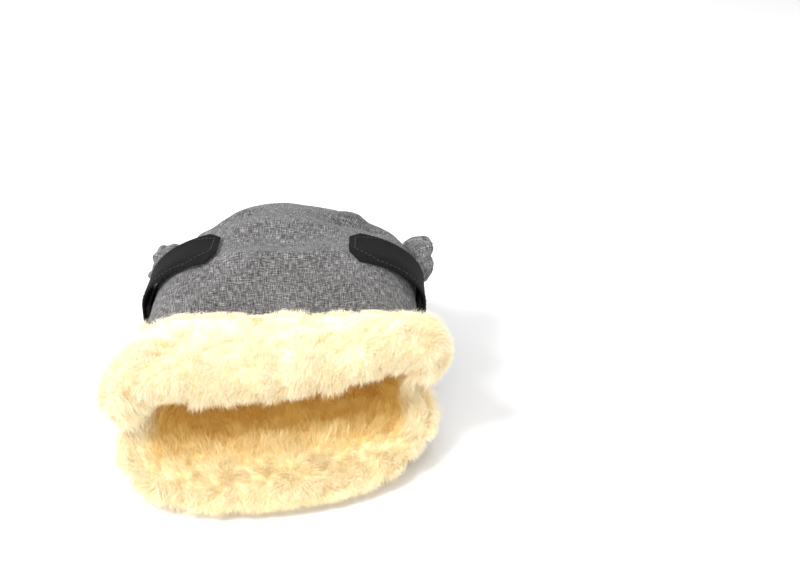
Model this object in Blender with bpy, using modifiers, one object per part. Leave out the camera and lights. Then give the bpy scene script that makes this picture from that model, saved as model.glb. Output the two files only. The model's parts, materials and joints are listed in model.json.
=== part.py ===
"""A lambskin-lined hand muff for a stroller handle, lying on its back panel.

The muff is a pocket of two panels. Each panel is woven fabric outside, a tanned hide inside it, and the
hide's wool innermost. The panels are joined round the closed crown, from ear to ear, and are free below the
ears, where a tab on each side closes the slit between them. The front panel's last stretch is turned out and
lies over it as a cuff, and the back panel runs on past it as a tongue.

Frame: metres, +Z up, the mouth towards -Y, the crown at +Y, symmetric about X = 0, floor at Z = 0.

Every layer comes from two surfaces, upper_point and lower_point. Each takes a place across the panel, a
place along it, and a depth below the fabric's outer face, so that the layers nest inside each other.
"""

import math

import bmesh
import bpy
from mathutils import Vector

# Overall sizes (metres)
HALF_WIDTH = 0.096  # fabric, at the mouth
WAIST_STEP = 0.0035  # how much narrower each side is behind the mouth
CROWN_HALF_WIDTH = HALF_WIDTH - WAIST_STEP  # fabric, under the straps and where the closed crown begins
DOME_HEIGHT = 0.113  # fabric, floor to the top of the dome
CROWN_LENGTH = 0.108  # from where the crown closes in to its tip
TIP_HEIGHT = 0.050  # the seam's height at the crown's tip

# Stations along Y
CROWN_START = 0.036  # the closed crown begins here, and the flap is hinged here
STRAP_CENTRE = 0.010
WAIST_START = -0.060  # the panels narrow from here
WAIST_END = -0.012  # to here, so that the straps lie on a straight side
SLOPE_TOP = 0.002  # the flap's steep front slope ends here
SLOPE_FOOT = -0.060
FOLD = -0.076  # where the front panel is turned out
TONGUE_SHOULDER = -0.060  # the tongue's rounded outline begins
TONGUE_REACH = 0.076  # from there to the hem's front
TONGUE_SPREAD = 0.007  # how much wider each side is where the tongue lies flat
TONGUE_HALF_WIDTH = HALF_WIDTH + TONGUE_SPREAD

# Heights of the sides
SEAM_HEIGHT = 0.066  # side seam at the ears
LIP_TOP = 0.066  # fabric at the fold
LIP_SIDE = 0.046  # where the lip's rounded side ends
SLIT_HALF = 0.009  # half the side slit's height at the straps
LIP_SLIT_HALF = 0.002

# Section shapes
LIP_CORNER = 0.020  # radius of the lip's sides
DOME_FLAT = 0.022  # half the dome's level stretch
BACK_CORNER_WIDTH = 0.044  # the back panel's rounded edge, across
BACK_CORNER_HEIGHT = 0.036  # and upwards
TONGUE_CURL = 0.012  # rise of the tongue's side edges
TONGUE_WOOL_REACH = 0.008  # the wool stands past the hem by this much
DEEP_END = -0.040  # the back panel is a trough behind this station
TONGUE_FLAT = -0.095  # and nearly flat in front of this one

# Layers, from the fabric's outer face inwards
SHELL = 0.0008
HIDE = 0.0015
LAYER_GAP = 0.0010
CROWN_PILE = 0.0137  # wool length in the crown and under the front panel
BACK_PILE = 0.0150
TONGUE_PILE = 0.0205
RIM_PILE = 0.35  # share of the wool's length left at the tongue's rim
RIM_LIFT = 0.003  # the wool's root rises off the hide by this much at the rim

# Turned-out cuff
CUFF_LENGTH = 0.040
CUFF_LIFT = 0.0030  # clear space under the cuff's fabric, which holds the label
CUFF_PILE = 0.0142
CUFF_RIM_PILE = 0.35
CUFF_END_PILE = 0.65

# Ears: sleeves for the stroller handle
EAR_CENTRE = 0.075
EAR_HALF_LENGTH = 0.021  # bore, along Y at the root
EAR_HALF_HEIGHT = 0.0070  # bore, along Z at the root
EAR_TILT = 0.005  # the mouth stands higher than the root
EAR_REACH = 0.019  # from the side of the shell outwards
EAR_GATHER = 0.84  # the mouth's size as a share of the root's
EAR_WALL = 0.0016
ELASTIC_WALL = 0.0010
ELASTIC_WIDTH = 0.006
EAR_SLOT_MARGIN = 0.0020  # the slot in the wall is larger than the bore by this much

# Tabs, straps and tapes
STRAP_WIDTH = 0.040
STRAP = 0.0016
TAPE = 0.0010
TAPE_MARGIN = 0.003
CLEAR = 0.0003
TAB_ROOT_LIFT = 0.0012
TAB_ROOT_ANGLE = math.radians(72)
TAB_CORNER = math.radians(6)
TAB_BOTTOM = 0.042
BACK_STRAP_BOTTOM = 0.034
STRAP_SIDE_GAP = 0.0005

# Label on the front panel, under the cuff
LABEL_SIZE = 0.032
LABEL_CENTRE_X = 0.046
LABEL_CENTRE_Y = -0.059
LABEL = 0.0005

# Mesh resolution
ACROSS = 18
CROWN_ROWS = 6
BODY_ROWS = 10
FLAP_ROWS = 12
CUFF_ARC_ROWS = 4
CUFF_FLAT_ROWS = 3
EDGE_CROWDING = 1.4

SIDES = {"left": -1, "right": 1}
QUARTER = math.pi / 2


def ease(t):
    """0 to 1 with level ends."""
    t = min(max(t, 0.0), 1.0)
    return t * t * (3 - 2 * t)


def mix(a, b, t):
    return a + (b - a) * t


# --- sizes that change along the muff --------------------------------------------------------------


def half_width(y):
    return mix(HALF_WIDTH, CROWN_HALF_WIDTH, ease((y - WAIST_START) / (WAIST_END - WAIST_START)))


def top_height(y):
    return mix(LIP_TOP, DOME_HEIGHT, ease((y - SLOPE_FOOT) / (SLOPE_TOP - SLOPE_FOOT)))


def side_height(y):
    return mix(LIP_SIDE, SEAM_HEIGHT, ease((y - FOLD) / (CROWN_START - FOLD)))


def dome_flat(y):
    lip_flat = HALF_WIDTH - LIP_CORNER
    return mix(lip_flat, DOME_FLAT, ease((y - FOLD) / (STRAP_CENTRE - FOLD)))


def slit_half(y):
    """Half the height of the open side: nothing at the crown, widest at the straps."""
    opened = ease((CROWN_START - y) / (CROWN_START - STRAP_CENTRE))
    at_lip = ease((SLOPE_TOP - STRAP_WIDTH / 2 - y) / (SLOPE_TOP - STRAP_WIDTH / 2 - FOLD))
    return LAYER_GAP / 2 + opened * mix(SLIT_HALF, LIP_SLIT_HALF, at_lip)


def ear_slot_half(y):
    """Half the height of the slot in the seam, inside the ear's sleeve."""
    reach = EAR_HALF_LENGTH + EAR_SLOT_MARGIN
    along = (y - EAR_CENTRE) / reach
    height = EAR_HALF_HEIGHT + EAR_SLOT_MARGIN / 2
    return LAYER_GAP / 2 + height * math.sqrt(max(0.0, 1 - along * along))


def seam_height(turn):
    """The seam's height round the crown; turn is 0 where the crown begins and 90 degrees at its tip."""
    return mix(TIP_HEIGHT, SEAM_HEIGHT, math.cos(turn))


def crown_y(turn, depth):
    return CROWN_START + (CROWN_LENGTH - depth) * math.sin(turn)


# --- sections --------------------------------------------------------------------------------------


def upper_section(across, y, depth):
    """Half section of the front panel: across is 0 at the middle and 1 at the edge."""
    width = half_width(y)
    base = side_height(y) + (slit_half(y) if y < CROWN_START else 0.0)
    flat = dome_flat(y)
    corner_x = width - flat
    corner_z = top_height(y) - base
    curve = QUARTER * math.hypot(corner_x, corner_z) / math.sqrt(2)
    level = flat / (flat + curve)
    if across <= level:
        return flat * across / level, base + corner_z - depth
    angle = QUARTER * (1 - across) / (1 - level)
    x = flat + (corner_x - depth) * math.cos(angle)
    z = base + (corner_z - depth) * math.sin(angle)
    return x, z


def trough_section(across, y, depth):
    """Half section of the back panel where it is a trough with upright sides."""
    width = half_width(y)
    edge = side_height(y) - (slit_half(y) if y < CROWN_START else 0.0)
    flat = width - BACK_CORNER_WIDTH
    curve = QUARTER * math.hypot(BACK_CORNER_WIDTH, BACK_CORNER_HEIGHT) / math.sqrt(2)
    upright = edge - BACK_CORNER_HEIGHT
    total = flat + curve + upright
    along = across * total
    if along <= flat:
        return along, depth
    if along <= flat + curve:
        angle = QUARTER * (along - flat) / curve
        x = flat + (BACK_CORNER_WIDTH - depth) * math.sin(angle)
        z = BACK_CORNER_HEIGHT - (BACK_CORNER_HEIGHT - depth) * math.cos(angle)
        return x, z
    return width - depth, BACK_CORNER_HEIGHT + along - flat - curve


def tongue_section(across, depth):
    return TONGUE_HALF_WIDTH * across, depth + TONGUE_CURL * across**4


# --- the two master surfaces -----------------------------------------------------------------------


def signed(u):
    """u runs 0 to 1 from the left edge to the right; gives the side, and the place from the middle.

    Places crowd towards the edges, where the panels turn most.
    """
    across = 2 * u - 1
    return (-1 if across < 0 else 1), 1 - (1 - abs(across)) ** EDGE_CROWDING


def upper_point(u, y, depth):
    side, across = signed(u)
    x, z = upper_section(across, y, depth)
    return Vector((side * x, y, z))


def upper_crown_point(u, turn, depth):
    side, across = signed(u)
    x, z = upper_section(across, CROWN_START, depth)
    scale = math.cos(turn)
    rise = (z - SEAM_HEIGHT) * scale
    lift = ear_slot_half(crown_y(turn, 0.0)) * (1 - rise / (DOME_HEIGHT - SEAM_HEIGHT))
    return Vector((side * x * scale, crown_y(turn, depth), seam_height(turn) + rise + lift))


def lower_crown_point(u, turn, depth):
    side, across = signed(u)
    x, z = trough_section(across, CROWN_START, depth)
    scale = math.cos(turn)
    fall = (SEAM_HEIGHT - z) * scale
    drop = ear_slot_half(crown_y(turn, 0.0)) * max(0.0, 1 - fall / (SEAM_HEIGHT - BACK_CORNER_HEIGHT))
    return Vector((side * x * scale, crown_y(turn, depth), seam_height(turn) - fall - drop))


def hem_y(across):
    """The tongue's rounded outline."""
    return TONGUE_SHOULDER - TONGUE_REACH * math.sqrt(max(0.0, 1 - across**2.6))


def lower_point(u, y, depth):
    side, across = signed(u)
    flatness = ease((DEEP_END - y) / (DEEP_END - TONGUE_FLAT))
    deep_x, deep_z = trough_section(across, y, depth)
    tongue_x, tongue_z = tongue_section(across, depth)
    return Vector((side * mix(deep_x, tongue_x, flatness), y, mix(deep_z, tongue_z, flatness)))


# --- mesh making -----------------------------------------------------------------------------------


def fresh_collection(name):
    for thing in list(bpy.data.objects):
        bpy.data.objects.remove(thing, do_unlink=True)
    collection = bpy.data.collections.new(name)
    bpy.context.scene.collection.children.link(collection)
    return collection


MUFF = fresh_collection("hand_muff")


def material(name, colour, roughness, metallic=0.0):
    made = bpy.data.materials.new(name)
    made.use_nodes = True
    shader = made.node_tree.nodes["Principled BSDF"]
    shader.inputs["Base Color"].default_value = (*colour, 1.0)
    shader.inputs["Roughness"].default_value = roughness
    shader.inputs["Metallic"].default_value = metallic
    return made


FABRIC = material("grey_melange_fabric", (0.19, 0.185, 0.185), 0.9)
SKIN = material("tanned_hide", (0.31, 0.15, 0.05), 0.8)
WOOL = material("cream_wool", (0.93, 0.80, 0.55), 0.95)
WEBBING = material("black_strap_fabric", (0.012, 0.012, 0.013), 0.7)
ELASTIC = material("grey_elastic", (0.10, 0.10, 0.10), 0.8)
TAPE_BLACK = material("black_tape", (0.008, 0.008, 0.008), 0.9)
LABEL_RED = material("red_label", (0.38, 0.008, 0.008), 0.6)


def add_object(name, mesh, surface):
    """Links a mesh as a named sub-part with its own copy of a material."""
    made = bpy.data.objects.new(name, mesh)
    own = surface.copy()
    own.name = name + "_material"
    mesh.materials.append(own)
    MUFF.objects.link(made)
    return made


def unit_grid(columns, rows):
    """A flat grid whose X and Y run 0 to 1: they are read as the u and v of a surface."""
    bm = bmesh.new()
    bmesh.ops.create_grid(bm, x_segments=columns, y_segments=rows, size=0.5)
    bmesh.ops.translate(bm, verts=bm.verts, vec=(0.5, 0.5, 0.0))
    bmesh.ops.triangulate(bm, faces=bm.faces, quad_method="FIXED")
    return bm


def layer(name, columns, rows, outer, inner, surface):
    """A closed solid between two surfaces of different shape: a grid, extruded and set on both."""
    bm = unit_grid(columns, rows)
    first = list(bm.verts)
    made = bmesh.ops.extrude_face_region(bm, geom=bm.faces, use_keep_orig=True)
    second = [item for item in made["geom"] if isinstance(item, bmesh.types.BMVert)]
    for vertices, place in ((first, outer), (second, inner)):
        for vertex in vertices:
            vertex.co = place(vertex.co.x, vertex.co.y)
    bmesh.ops.remove_doubles(bm, verts=bm.verts, dist=1e-6)
    bmesh.ops.recalc_face_normals(bm, faces=bm.faces)
    mesh = bpy.data.meshes.new(name)
    bm.to_mesh(mesh)
    bm.free()
    mesh.shade_smooth()
    mesh.set_sharp_from_angle(angle=math.radians(50))
    return add_object(name, mesh, surface)


def thick_sheet(name, columns, rows, place, thickness, surface, wrap=False, reverse=False):
    """An open grid laid on a surface and thickened outwards by Solidify; wrap closes it into a tube."""
    bm = unit_grid(columns, rows)
    for vertex in bm.verts:
        vertex.co = place(vertex.co.x, vertex.co.y)
    if wrap:
        bmesh.ops.remove_doubles(bm, verts=bm.verts, dist=1e-6)
        bmesh.ops.recalc_face_normals(bm, faces=bm.faces)
    if reverse:
        bmesh.ops.reverse_faces(bm, faces=bm.faces)
    mesh = bpy.data.meshes.new(name)
    bm.to_mesh(mesh)
    bm.free()
    mesh.shade_smooth()
    made = add_object(name, mesh, surface)
    solid = made.modifiers.new("thickness", "SOLIDIFY")
    solid.thickness = thickness
    solid.offset = 1.0
    return made


# --- panels ----------------------------------------------------------------------------------------


def layer_depths(pile):
    """Outer and inner depth of the fabric, the hide and the wool."""
    hide_top = SHELL + LAYER_GAP
    wool_top = hide_top + HIDE + LAYER_GAP
    return (0.0, SHELL), (hide_top, hide_top + HIDE), (wool_top, wool_top + pile)


def back_place(depth_at, reach=0.0):
    """Places the back panel's grid: v runs from the crown's tip to the tongue's hem."""
    crown_share = CROWN_ROWS / (CROWN_ROWS + BODY_ROWS)

    def place(u, v):
        if v < crown_share - 1e-6:
            turn = QUARTER * (1 - v / crown_share)
            return lower_crown_point(u, turn, depth_at(u, 0.0))
        along = (v - crown_share) / (1 - crown_share)
        y = mix(CROWN_START, hem_y(signed(u)[1]), along)
        if v > 1 - 1e-6:
            y -= reach
        return lower_point(u, y, depth_at(u, along))

    return place


def build_back_panel():
    shell, hide, wool = layer_depths(BACK_PILE)
    rows = CROWN_ROWS + BODY_ROWS

    def level(depth):
        return back_place(lambda u, along: depth)

    def root_depth(u, along):
        return wool[0] + RIM_LIFT * ease((along - 0.5) / 0.5)

    def pile_end(u, along):
        """The wool is longer on the tongue and thins out at its rim."""
        length = mix(BACK_PILE, TONGUE_PILE, ease(along))
        rim = ease((along - 0.8) / 0.2)
        return root_depth(u, along) + length * mix(1.0, RIM_PILE, rim)

    layer("back_shell_panel", ACROSS, rows, level(shell[0]), level(shell[1]), FABRIC)
    layer("back_lambskin_hide", ACROSS, rows, level(hide[0]), level(hide[1]), SKIN)
    root = back_place(root_depth, TONGUE_WOOL_REACH)
    layer("back_wool_pile", ACROSS, rows, root, back_place(pile_end, TONGUE_WOOL_REACH), WOOL)


def build_crown():
    names = ("crown_shell", "crown_lambskin_hide", "crown_wool_pile")
    for name, depths, surface in zip(names, layer_depths(CROWN_PILE), (FABRIC, SKIN, WOOL)):

        def place(depth):
            return lambda u, v: upper_crown_point(u, QUARTER * v, depth)

        layer(name, ACROSS, CROWN_ROWS, place(depths[0]), place(depths[1]), surface)


def build_front_panel():
    names = ("front_shell_panel", "front_lambskin_hide", "front_wool_pile")
    rear = CROWN_START - 2 * CLEAR
    for name, depths, surface in zip(names, layer_depths(CROWN_PILE), (FABRIC, SKIN, WOOL)):

        def place(depth):
            return lambda u, v: upper_point(u, mix(FOLD, rear, v), depth)

        layer(name, ACROSS, FLAP_ROWS, place(depths[0]), place(depths[1]), surface)


# --- turned-out cuff --------------------------------------------------------------------------------


def cuff_place(radius_at):
    """The cuff's grid: v runs under the lip, round the fold and back over the front panel.

    radius_at gives the distance from the fold's centre line, for a place across and a place along.
    """
    arc_share = CUFF_ARC_ROWS / (CUFF_ARC_ROWS + CUFF_FLAT_ROWS)
    centre_height = CUFF_LIFT / 2

    def place(u, v):
        if v <= arc_share + 1e-6:
            turn = math.pi * (1 - v / arc_share)
            radius = radius_at(u, 0.0)
            point = upper_point(u, FOLD, -centre_height - radius * math.cos(turn))
            point.y -= CLEAR + radius * math.sin(turn)
            return point
        along = (v - arc_share) / (1 - arc_share)
        y = mix(FOLD - CLEAR, FOLD + CUFF_LENGTH, along)
        return upper_point(u, y, -centre_height - radius_at(u, along))

    return place


def build_cuff():
    shell, hide, wool = layer_depths(CUFF_PILE)
    middle = CUFF_LIFT / 2
    rows = CUFF_ARC_ROWS + CUFF_FLAT_ROWS

    def level(depth):
        return cuff_place(lambda u, along: middle + depth)

    def pile_end(u, along):
        """The wool thins out at the free edge and at the cuff's two ends."""
        rear = mix(1.0, CUFF_RIM_PILE, ease((along - 0.3) / 0.7))
        ends = mix(1.0, CUFF_END_PILE, ease((signed(u)[1] - 0.8) / 0.2))
        return middle + wool[0] + CUFF_PILE * rear * ends

    layer("cuff_shell", ACROSS, rows, level(shell[1]), level(shell[0]), FABRIC)
    layer("cuff_lambskin_hide", ACROSS, rows, level(hide[1]), level(hide[0]), SKIN)
    layer("cuff_wool_pile", ACROSS, rows, cuff_place(pile_end), level(wool[0]), WOOL)


# --- ears ------------------------------------------------------------------------------------------


def crown_side(y):
    """Half width of the shell at the seam, in the closed crown."""
    turn = math.asin(min(1.0, (y - CROWN_START) / CROWN_LENGTH))
    return CROWN_HALF_WIDTH * math.cos(turn)


EAR_TURN = math.asin((EAR_CENTRE - CROWN_START) / CROWN_LENGTH)
EAR_HEIGHT = seam_height(EAR_TURN)
EAR_MOUTH_X = crown_side(EAR_CENTRE) + EAR_REACH


def ear_ring(side, around, along, swell):
    """A point of an oval tube, along from 0 at the shell to 1 at the gathered mouth."""
    angle = 2 * math.pi * around
    gather = mix(1.0, EAR_GATHER, along)
    y = EAR_CENTRE + (EAR_HALF_LENGTH * gather + swell) * math.cos(angle)
    z = EAR_HEIGHT + EAR_TILT * along + (EAR_HALF_HEIGHT * gather + swell) * math.sin(angle)
    x = mix(crown_side(y) + 2 * CLEAR, EAR_MOUTH_X, along)
    return Vector((side * x, y, z))


def build_ears():
    elastic_start = 1 - ELASTIC_WIDTH / EAR_REACH
    for word, side in SIDES.items():

        def sleeve(u, v, side=side):
            return ear_ring(side, u, v, ELASTIC_WALL + 2 * CLEAR)

        def band(u, v, side=side):
            return ear_ring(side, u, mix(elastic_start, 1.0, v), 0.0)

        thick_sheet("ear_sleeve_" + word, 24, 3, sleeve, EAR_WALL, FABRIC, wrap=True)
        thick_sheet("ear_elastic_" + word, 24, 1, band, ELASTIC_WALL, ELASTIC, wrap=True)


# --- tabs, straps and tapes ------------------------------------------------------------------------

# How far each piece's inner face stands off the side of the shell
BACK_STRAP_LEVEL = STRAP_SIDE_GAP
LOOP_LEVEL = BACK_STRAP_LEVEL + STRAP + CLEAR
HOOK_LEVEL = LOOP_LEVEL + TAPE + CLEAR
TAB_LEVEL = HOOK_LEVEL + TAPE + CLEAR
TAB_KNEE = side_height(STRAP_CENTRE) + slit_half(STRAP_CENTRE)  # the tab hangs straight below this height
TAB_Y = (STRAP_CENTRE - STRAP_WIDTH / 2, STRAP_CENTRE + STRAP_WIDTH / 2)


def tab_point(side, w, y):
    """The tab's inner face, w from 0 at its sewn end to 1 at its free end."""
    from_edge = min(y - TAB_Y[0], TAB_Y[1] - y)
    start = TAB_ROOT_ANGLE - (TAB_CORNER if from_edge < 1e-5 else 0.0)
    side_x = half_width(y) + TAB_LEVEL
    reach_x = side_x - DOME_FLAT
    reach_z = top_height(y) + TAB_ROOT_LIFT - TAB_KNEE
    knee = 0.7
    if w <= knee:
        angle = start * (1 - w / knee)
        x = DOME_FLAT + reach_x * math.cos(angle)
        return Vector((side * x, y, TAB_KNEE + reach_z * math.sin(angle)))
    return Vector((side * side_x, y, mix(TAB_KNEE, TAB_BOTTOM, (w - knee) / (1 - knee))))


def side_strip(name, side, level, thickness, inset, bottom, top, surface):
    """An upright strap or tape that follows the muff's side, inset from the strap's two long edges."""

    def place(u, v):
        y = mix(TAB_Y[0] + inset, TAB_Y[1] - inset, u)
        return Vector((side * (half_width(y) + level), y, mix(bottom, top, v)))

    return thick_sheet(name, 8, 2, place, thickness, surface, reverse=side < 0)


def build_fastening():
    strap_top = TAB_KNEE + TAPE_MARGIN
    tape_bottom = TAB_BOTTOM + TAPE_MARGIN
    for word, side in SIDES.items():

        def place(u, v, side=side):
            return tab_point(side, u, mix(TAB_Y[0], TAB_Y[1], v))

        tab = thick_sheet("front_tab_" + word, 12, 8, place, STRAP, WEBBING, reverse=side < 0)
        hook = side_strip("hook_tape_" + word, side, HOOK_LEVEL, TAPE, TAPE_MARGIN,
                          tape_bottom - TAPE, TAB_KNEE - TAPE, TAPE_BLACK)
        root = tab_point(side, 0.0, STRAP_CENTRE)
        hang_on_pivot("tab_pivot_" + word, root, (tab, hook))
        side_strip("back_strap_" + word, side, BACK_STRAP_LEVEL, STRAP, TAPE,
                   BACK_STRAP_BOTTOM, strap_top, WEBBING)
        side_strip("loop_tape_" + word, side, LOOP_LEVEL, TAPE, TAPE_MARGIN,
                   tape_bottom, TAB_KNEE + TAPE, TAPE_BLACK)


def build_label():
    lift = CUFF_LIFT * 0.4

    def place(u, v):
        x = LABEL_CENTRE_X + LABEL_SIZE * (u - 0.5)
        y = LABEL_CENTRE_Y + LABEL_SIZE * (v - 0.5)
        return surface_at(x, y, lift)

    thick_sheet("label_patch", 6, 6, place, LABEL, LABEL_RED)


def surface_at(x, y, lift):
    """The front panel's outer face above a point of the plan, found by halving."""
    low, high = 0.5, 1.0
    for _ in range(40):
        middle = (low + high) / 2
        if upper_point(middle, y, -lift).x < x:
            low = middle
        else:
            high = middle
    return upper_point(low, y, -lift)


# --- pivots ----------------------------------------------------------------------------------------


def hang_on_pivot(name, place, things):
    """An empty on the joint's axis, with its pieces as children that keep their places."""
    pivot = bpy.data.objects.new(name, None)
    pivot.location = place
    MUFF.objects.link(pivot)
    for thing in things:
        thing.parent = pivot
        thing.location = -Vector(place)
    return pivot


def build():
    build_back_panel()
    build_crown()
    build_front_panel()
    build_cuff()
    build_ears()
    build_fastening()
    build_label()
    pieces = bpy.data.objects
    cuff_names = ("cuff_shell", "cuff_lambskin_hide", "cuff_wool_pile")
    cuff_axis = (0.0, FOLD, LIP_SIDE - LIP_SLIT_HALF)
    cuff = hang_on_pivot("cuff_pivot", cuff_axis, [pieces[name] for name in cuff_names])
    flap_names = ("front_shell_panel", "front_lambskin_hide", "front_wool_pile", "label_patch")
    flap_axis = (0.0, CROWN_START, DOME_HEIGHT + CLEAR)
    flap = hang_on_pivot("flap_pivot", flap_axis, [pieces[name] for name in flap_names])
    for pivot in (cuff, pieces["tab_pivot_left"], pieces["tab_pivot_right"]):
        pivot.parent = flap
        pivot.location = pivot.location - Vector(flap_axis)


build()
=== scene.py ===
# %% [markdown]
# # A lambskin-lined hand muff for a stroller handle
# The muff is a pocket of two padded panels with the wool inside. The front panel's last stretch is turned
# out as a cuff of wool, the back panel runs on as a tongue, and a webbing tab closes each side.
# The fixed CAD model gives the sizes and the bodies that move. Everything soft is made again here, finer.

# %% Load the fixed model and keep its box
import json
import math

import bmesh
import bpy
import numpy as np
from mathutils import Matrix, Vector


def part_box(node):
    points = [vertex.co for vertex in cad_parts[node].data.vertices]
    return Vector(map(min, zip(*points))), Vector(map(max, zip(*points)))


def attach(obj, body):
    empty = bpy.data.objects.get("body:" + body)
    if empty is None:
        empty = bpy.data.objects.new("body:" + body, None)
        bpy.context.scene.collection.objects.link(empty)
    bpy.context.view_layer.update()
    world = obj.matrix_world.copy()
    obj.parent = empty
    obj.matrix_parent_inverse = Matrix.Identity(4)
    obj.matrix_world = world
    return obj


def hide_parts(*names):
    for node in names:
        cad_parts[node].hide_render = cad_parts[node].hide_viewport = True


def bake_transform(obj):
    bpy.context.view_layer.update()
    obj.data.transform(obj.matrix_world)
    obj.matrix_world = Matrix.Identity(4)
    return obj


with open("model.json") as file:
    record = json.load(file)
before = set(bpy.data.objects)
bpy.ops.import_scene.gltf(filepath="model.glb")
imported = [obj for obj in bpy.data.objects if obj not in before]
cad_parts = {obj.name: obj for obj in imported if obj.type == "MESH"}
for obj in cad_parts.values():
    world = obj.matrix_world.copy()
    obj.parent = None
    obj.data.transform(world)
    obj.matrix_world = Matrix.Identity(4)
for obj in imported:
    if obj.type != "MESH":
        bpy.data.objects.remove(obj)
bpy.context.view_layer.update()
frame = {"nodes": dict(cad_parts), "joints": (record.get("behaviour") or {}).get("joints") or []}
JOINTS = {joint["name"]: joint for joint in frame["joints"]}

# %% [markdown]
# ## Sizes
# Overall sizes are read from the fixed model, so that a change there is followed here. The rest are the
# cutting sizes of a muff like this one, all in metres.

# %% Overall sizes and stations along the muff
front_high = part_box("front_shell_panel")[1]
back_low, back_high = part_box("back_shell_panel")
HALF_WIDTH = front_high.x
DOME_HEIGHT = front_high.z
CROWN_START = JOINTS["flap_lift"]["pos_m"][1]
CROWN_LENGTH = back_high.y - CROWN_START
FOLD = JOINTS["cuff_unroll"]["pos_m"][1]
HEM_FRONT = back_low.y
CROWN_HALF_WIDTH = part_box("crown_shell")[1].x
TIP_HEIGHT, SEAM_HEIGHT = 0.050, 0.066
LIP_TOP, LIP_SIDE, LIP_CORNER = 0.066, 0.046, 0.020
WAIST_START, WAIST_END = -0.060, -0.012
SLOPE_TOP, SLOPE_FOOT = 0.002, -0.060
STRAP_CENTRE, STRAP_WIDTH = 0.010, 0.040
TONGUE_SHOULDER, TONGUE_HALF_WIDTH, TONGUE_CURL = -0.060, 0.103, 0.012
DEEP_END, TONGUE_FLAT = -0.040, -0.095
SLIT_HALF, LIP_SLIT_HALF, DOME_FLAT = 0.009, 0.002, 0.022
BACK_CORNER_WIDTH, BACK_CORNER_HEIGHT = 0.044, 0.036
EAR_CENTRE, EAR_HALF_LENGTH, EAR_HALF_HEIGHT = 0.075, 0.021, 0.0070
EAR_REACH, EAR_TILT, EAR_GATHER = 0.019, 0.005, 0.84
LAYER_GAP, HIDE_TOP, HIDE_END, WOOL_ROOT = 0.0010, 0.0018, 0.0033, 0.0043
FABRIC = 0.0008
CUFF_LIFT, CUFF_SHOWN = 0.0030, 0.84
CUFF_LENGTH = 0.040 * CUFF_SHOWN
MOUTH_START, MOUTH_RUN = -0.030, 0.050
SIDES = (("left", -1), ("right", 1))
QUARTER = math.pi / 2
print("fold at", round(FOLD, 3), "crown from", CROWN_START, "to", round(back_high.y, 3))

# %% [markdown]
# ## The two master surfaces
# Every layer of the muff, from the fabric to the tips of the wool, is the same surface at another depth.
# So each panel is one function of three numbers: a place across, a place along, and a depth. Whole arrays
# go in and whole arrays come out.


# %% Blending helpers
def ease(t):
    """0 to 1 with level ends: three t squared less two t cubed."""
    t = np.clip(t, 0.0, 1.0)
    return t * t * (3 - 2 * t)


def mix(a, b, t):
    return a + (b - a) * t


def unit(vectors):
    """The same directions, each of length one."""
    return vectors / np.maximum(np.linalg.norm(vectors, axis=-1, keepdims=True), 1e-9)


def bump(distance, width):
    """A bell: e to the power of minus the squared distance over the squared width."""
    return np.exp(-((distance / width) ** 2))


# %% Sizes that change along the muff
def half_width(y):
    return mix(HALF_WIDTH, CROWN_HALF_WIDTH, ease((y - WAIST_START) / (WAIST_END - WAIST_START)))


def top_height(y):
    return mix(LIP_TOP, DOME_HEIGHT, ease((y - SLOPE_FOOT) / (SLOPE_TOP - SLOPE_FOOT)))


def side_height(y):
    return mix(LIP_SIDE, SEAM_HEIGHT, ease((y - FOLD) / (CROWN_START - FOLD)))


def dome_flat(y):
    return mix(HALF_WIDTH - LIP_CORNER, DOME_FLAT, ease((y - FOLD) / (STRAP_CENTRE - FOLD)))


def slit_half(y):
    opened = ease((CROWN_START - y) / (CROWN_START - STRAP_CENTRE))
    rear = SLOPE_TOP - STRAP_WIDTH / 2
    return LAYER_GAP / 2 + opened * mix(SLIT_HALF, LIP_SLIT_HALF, ease((rear - y) / (rear - FOLD)))


def ear_slot_half(y):
    """Half the height of the slot in the seam inside an ear: an ellipse along the seam."""
    along = (y - EAR_CENTRE) / (EAR_HALF_LENGTH + 0.002)
    return LAYER_GAP / 2 + (EAR_HALF_HEIGHT + 0.001) * np.sqrt(np.maximum(0.0, 1 - along**2))


# %% The front panel with the crown, and the back panel with the tongue
def upper_section(across, y, depth):
    """Half a section: level in the middle, then a quarter of an ellipse down to the side."""
    flat = dome_flat(y)
    base = side_height(y) + slit_half(y) * (y < CROWN_START)
    corner_x, corner_z = half_width(y) - flat, top_height(y) - base
    curve = QUARTER * np.hypot(corner_x, corner_z) / math.sqrt(2)
    level = flat / (flat + curve)
    angle = np.minimum(QUARTER * (1 - across) / (1 - level), QUARTER)
    x = np.where(across <= level, flat * across / level, flat + (corner_x - depth) * np.cos(angle))
    return x, base + (corner_z - depth) * np.sin(angle)


def trough_section(across, y, depth):
    """Half a section: a flat floor, a rounded corner, then an upright side."""
    width = half_width(y)
    edge = side_height(y) - slit_half(y) * (y < CROWN_START)
    flat = width - BACK_CORNER_WIDTH
    curve = QUARTER * math.hypot(BACK_CORNER_WIDTH, BACK_CORNER_HEIGHT) / math.sqrt(2)
    along = across * (flat + curve + edge - BACK_CORNER_HEIGHT)
    angle = np.clip(QUARTER * (along - flat) / curve, 0.0, QUARTER)
    upright = np.maximum(0.0, along - flat - curve)
    x = np.minimum(along, flat) + (BACK_CORNER_WIDTH - depth) * np.sin(angle)
    return x, BACK_CORNER_HEIGHT - (BACK_CORNER_HEIGHT - depth) * np.cos(angle) + upright


def stack(x, y, z):
    return np.stack(np.broadcast_arrays(x, y, z), axis=-1)


def mouth_share(y):
    """0 behind the straps and 1 at the mouth."""
    return ease((MOUTH_START - y) / MOUTH_RUN)


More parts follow.
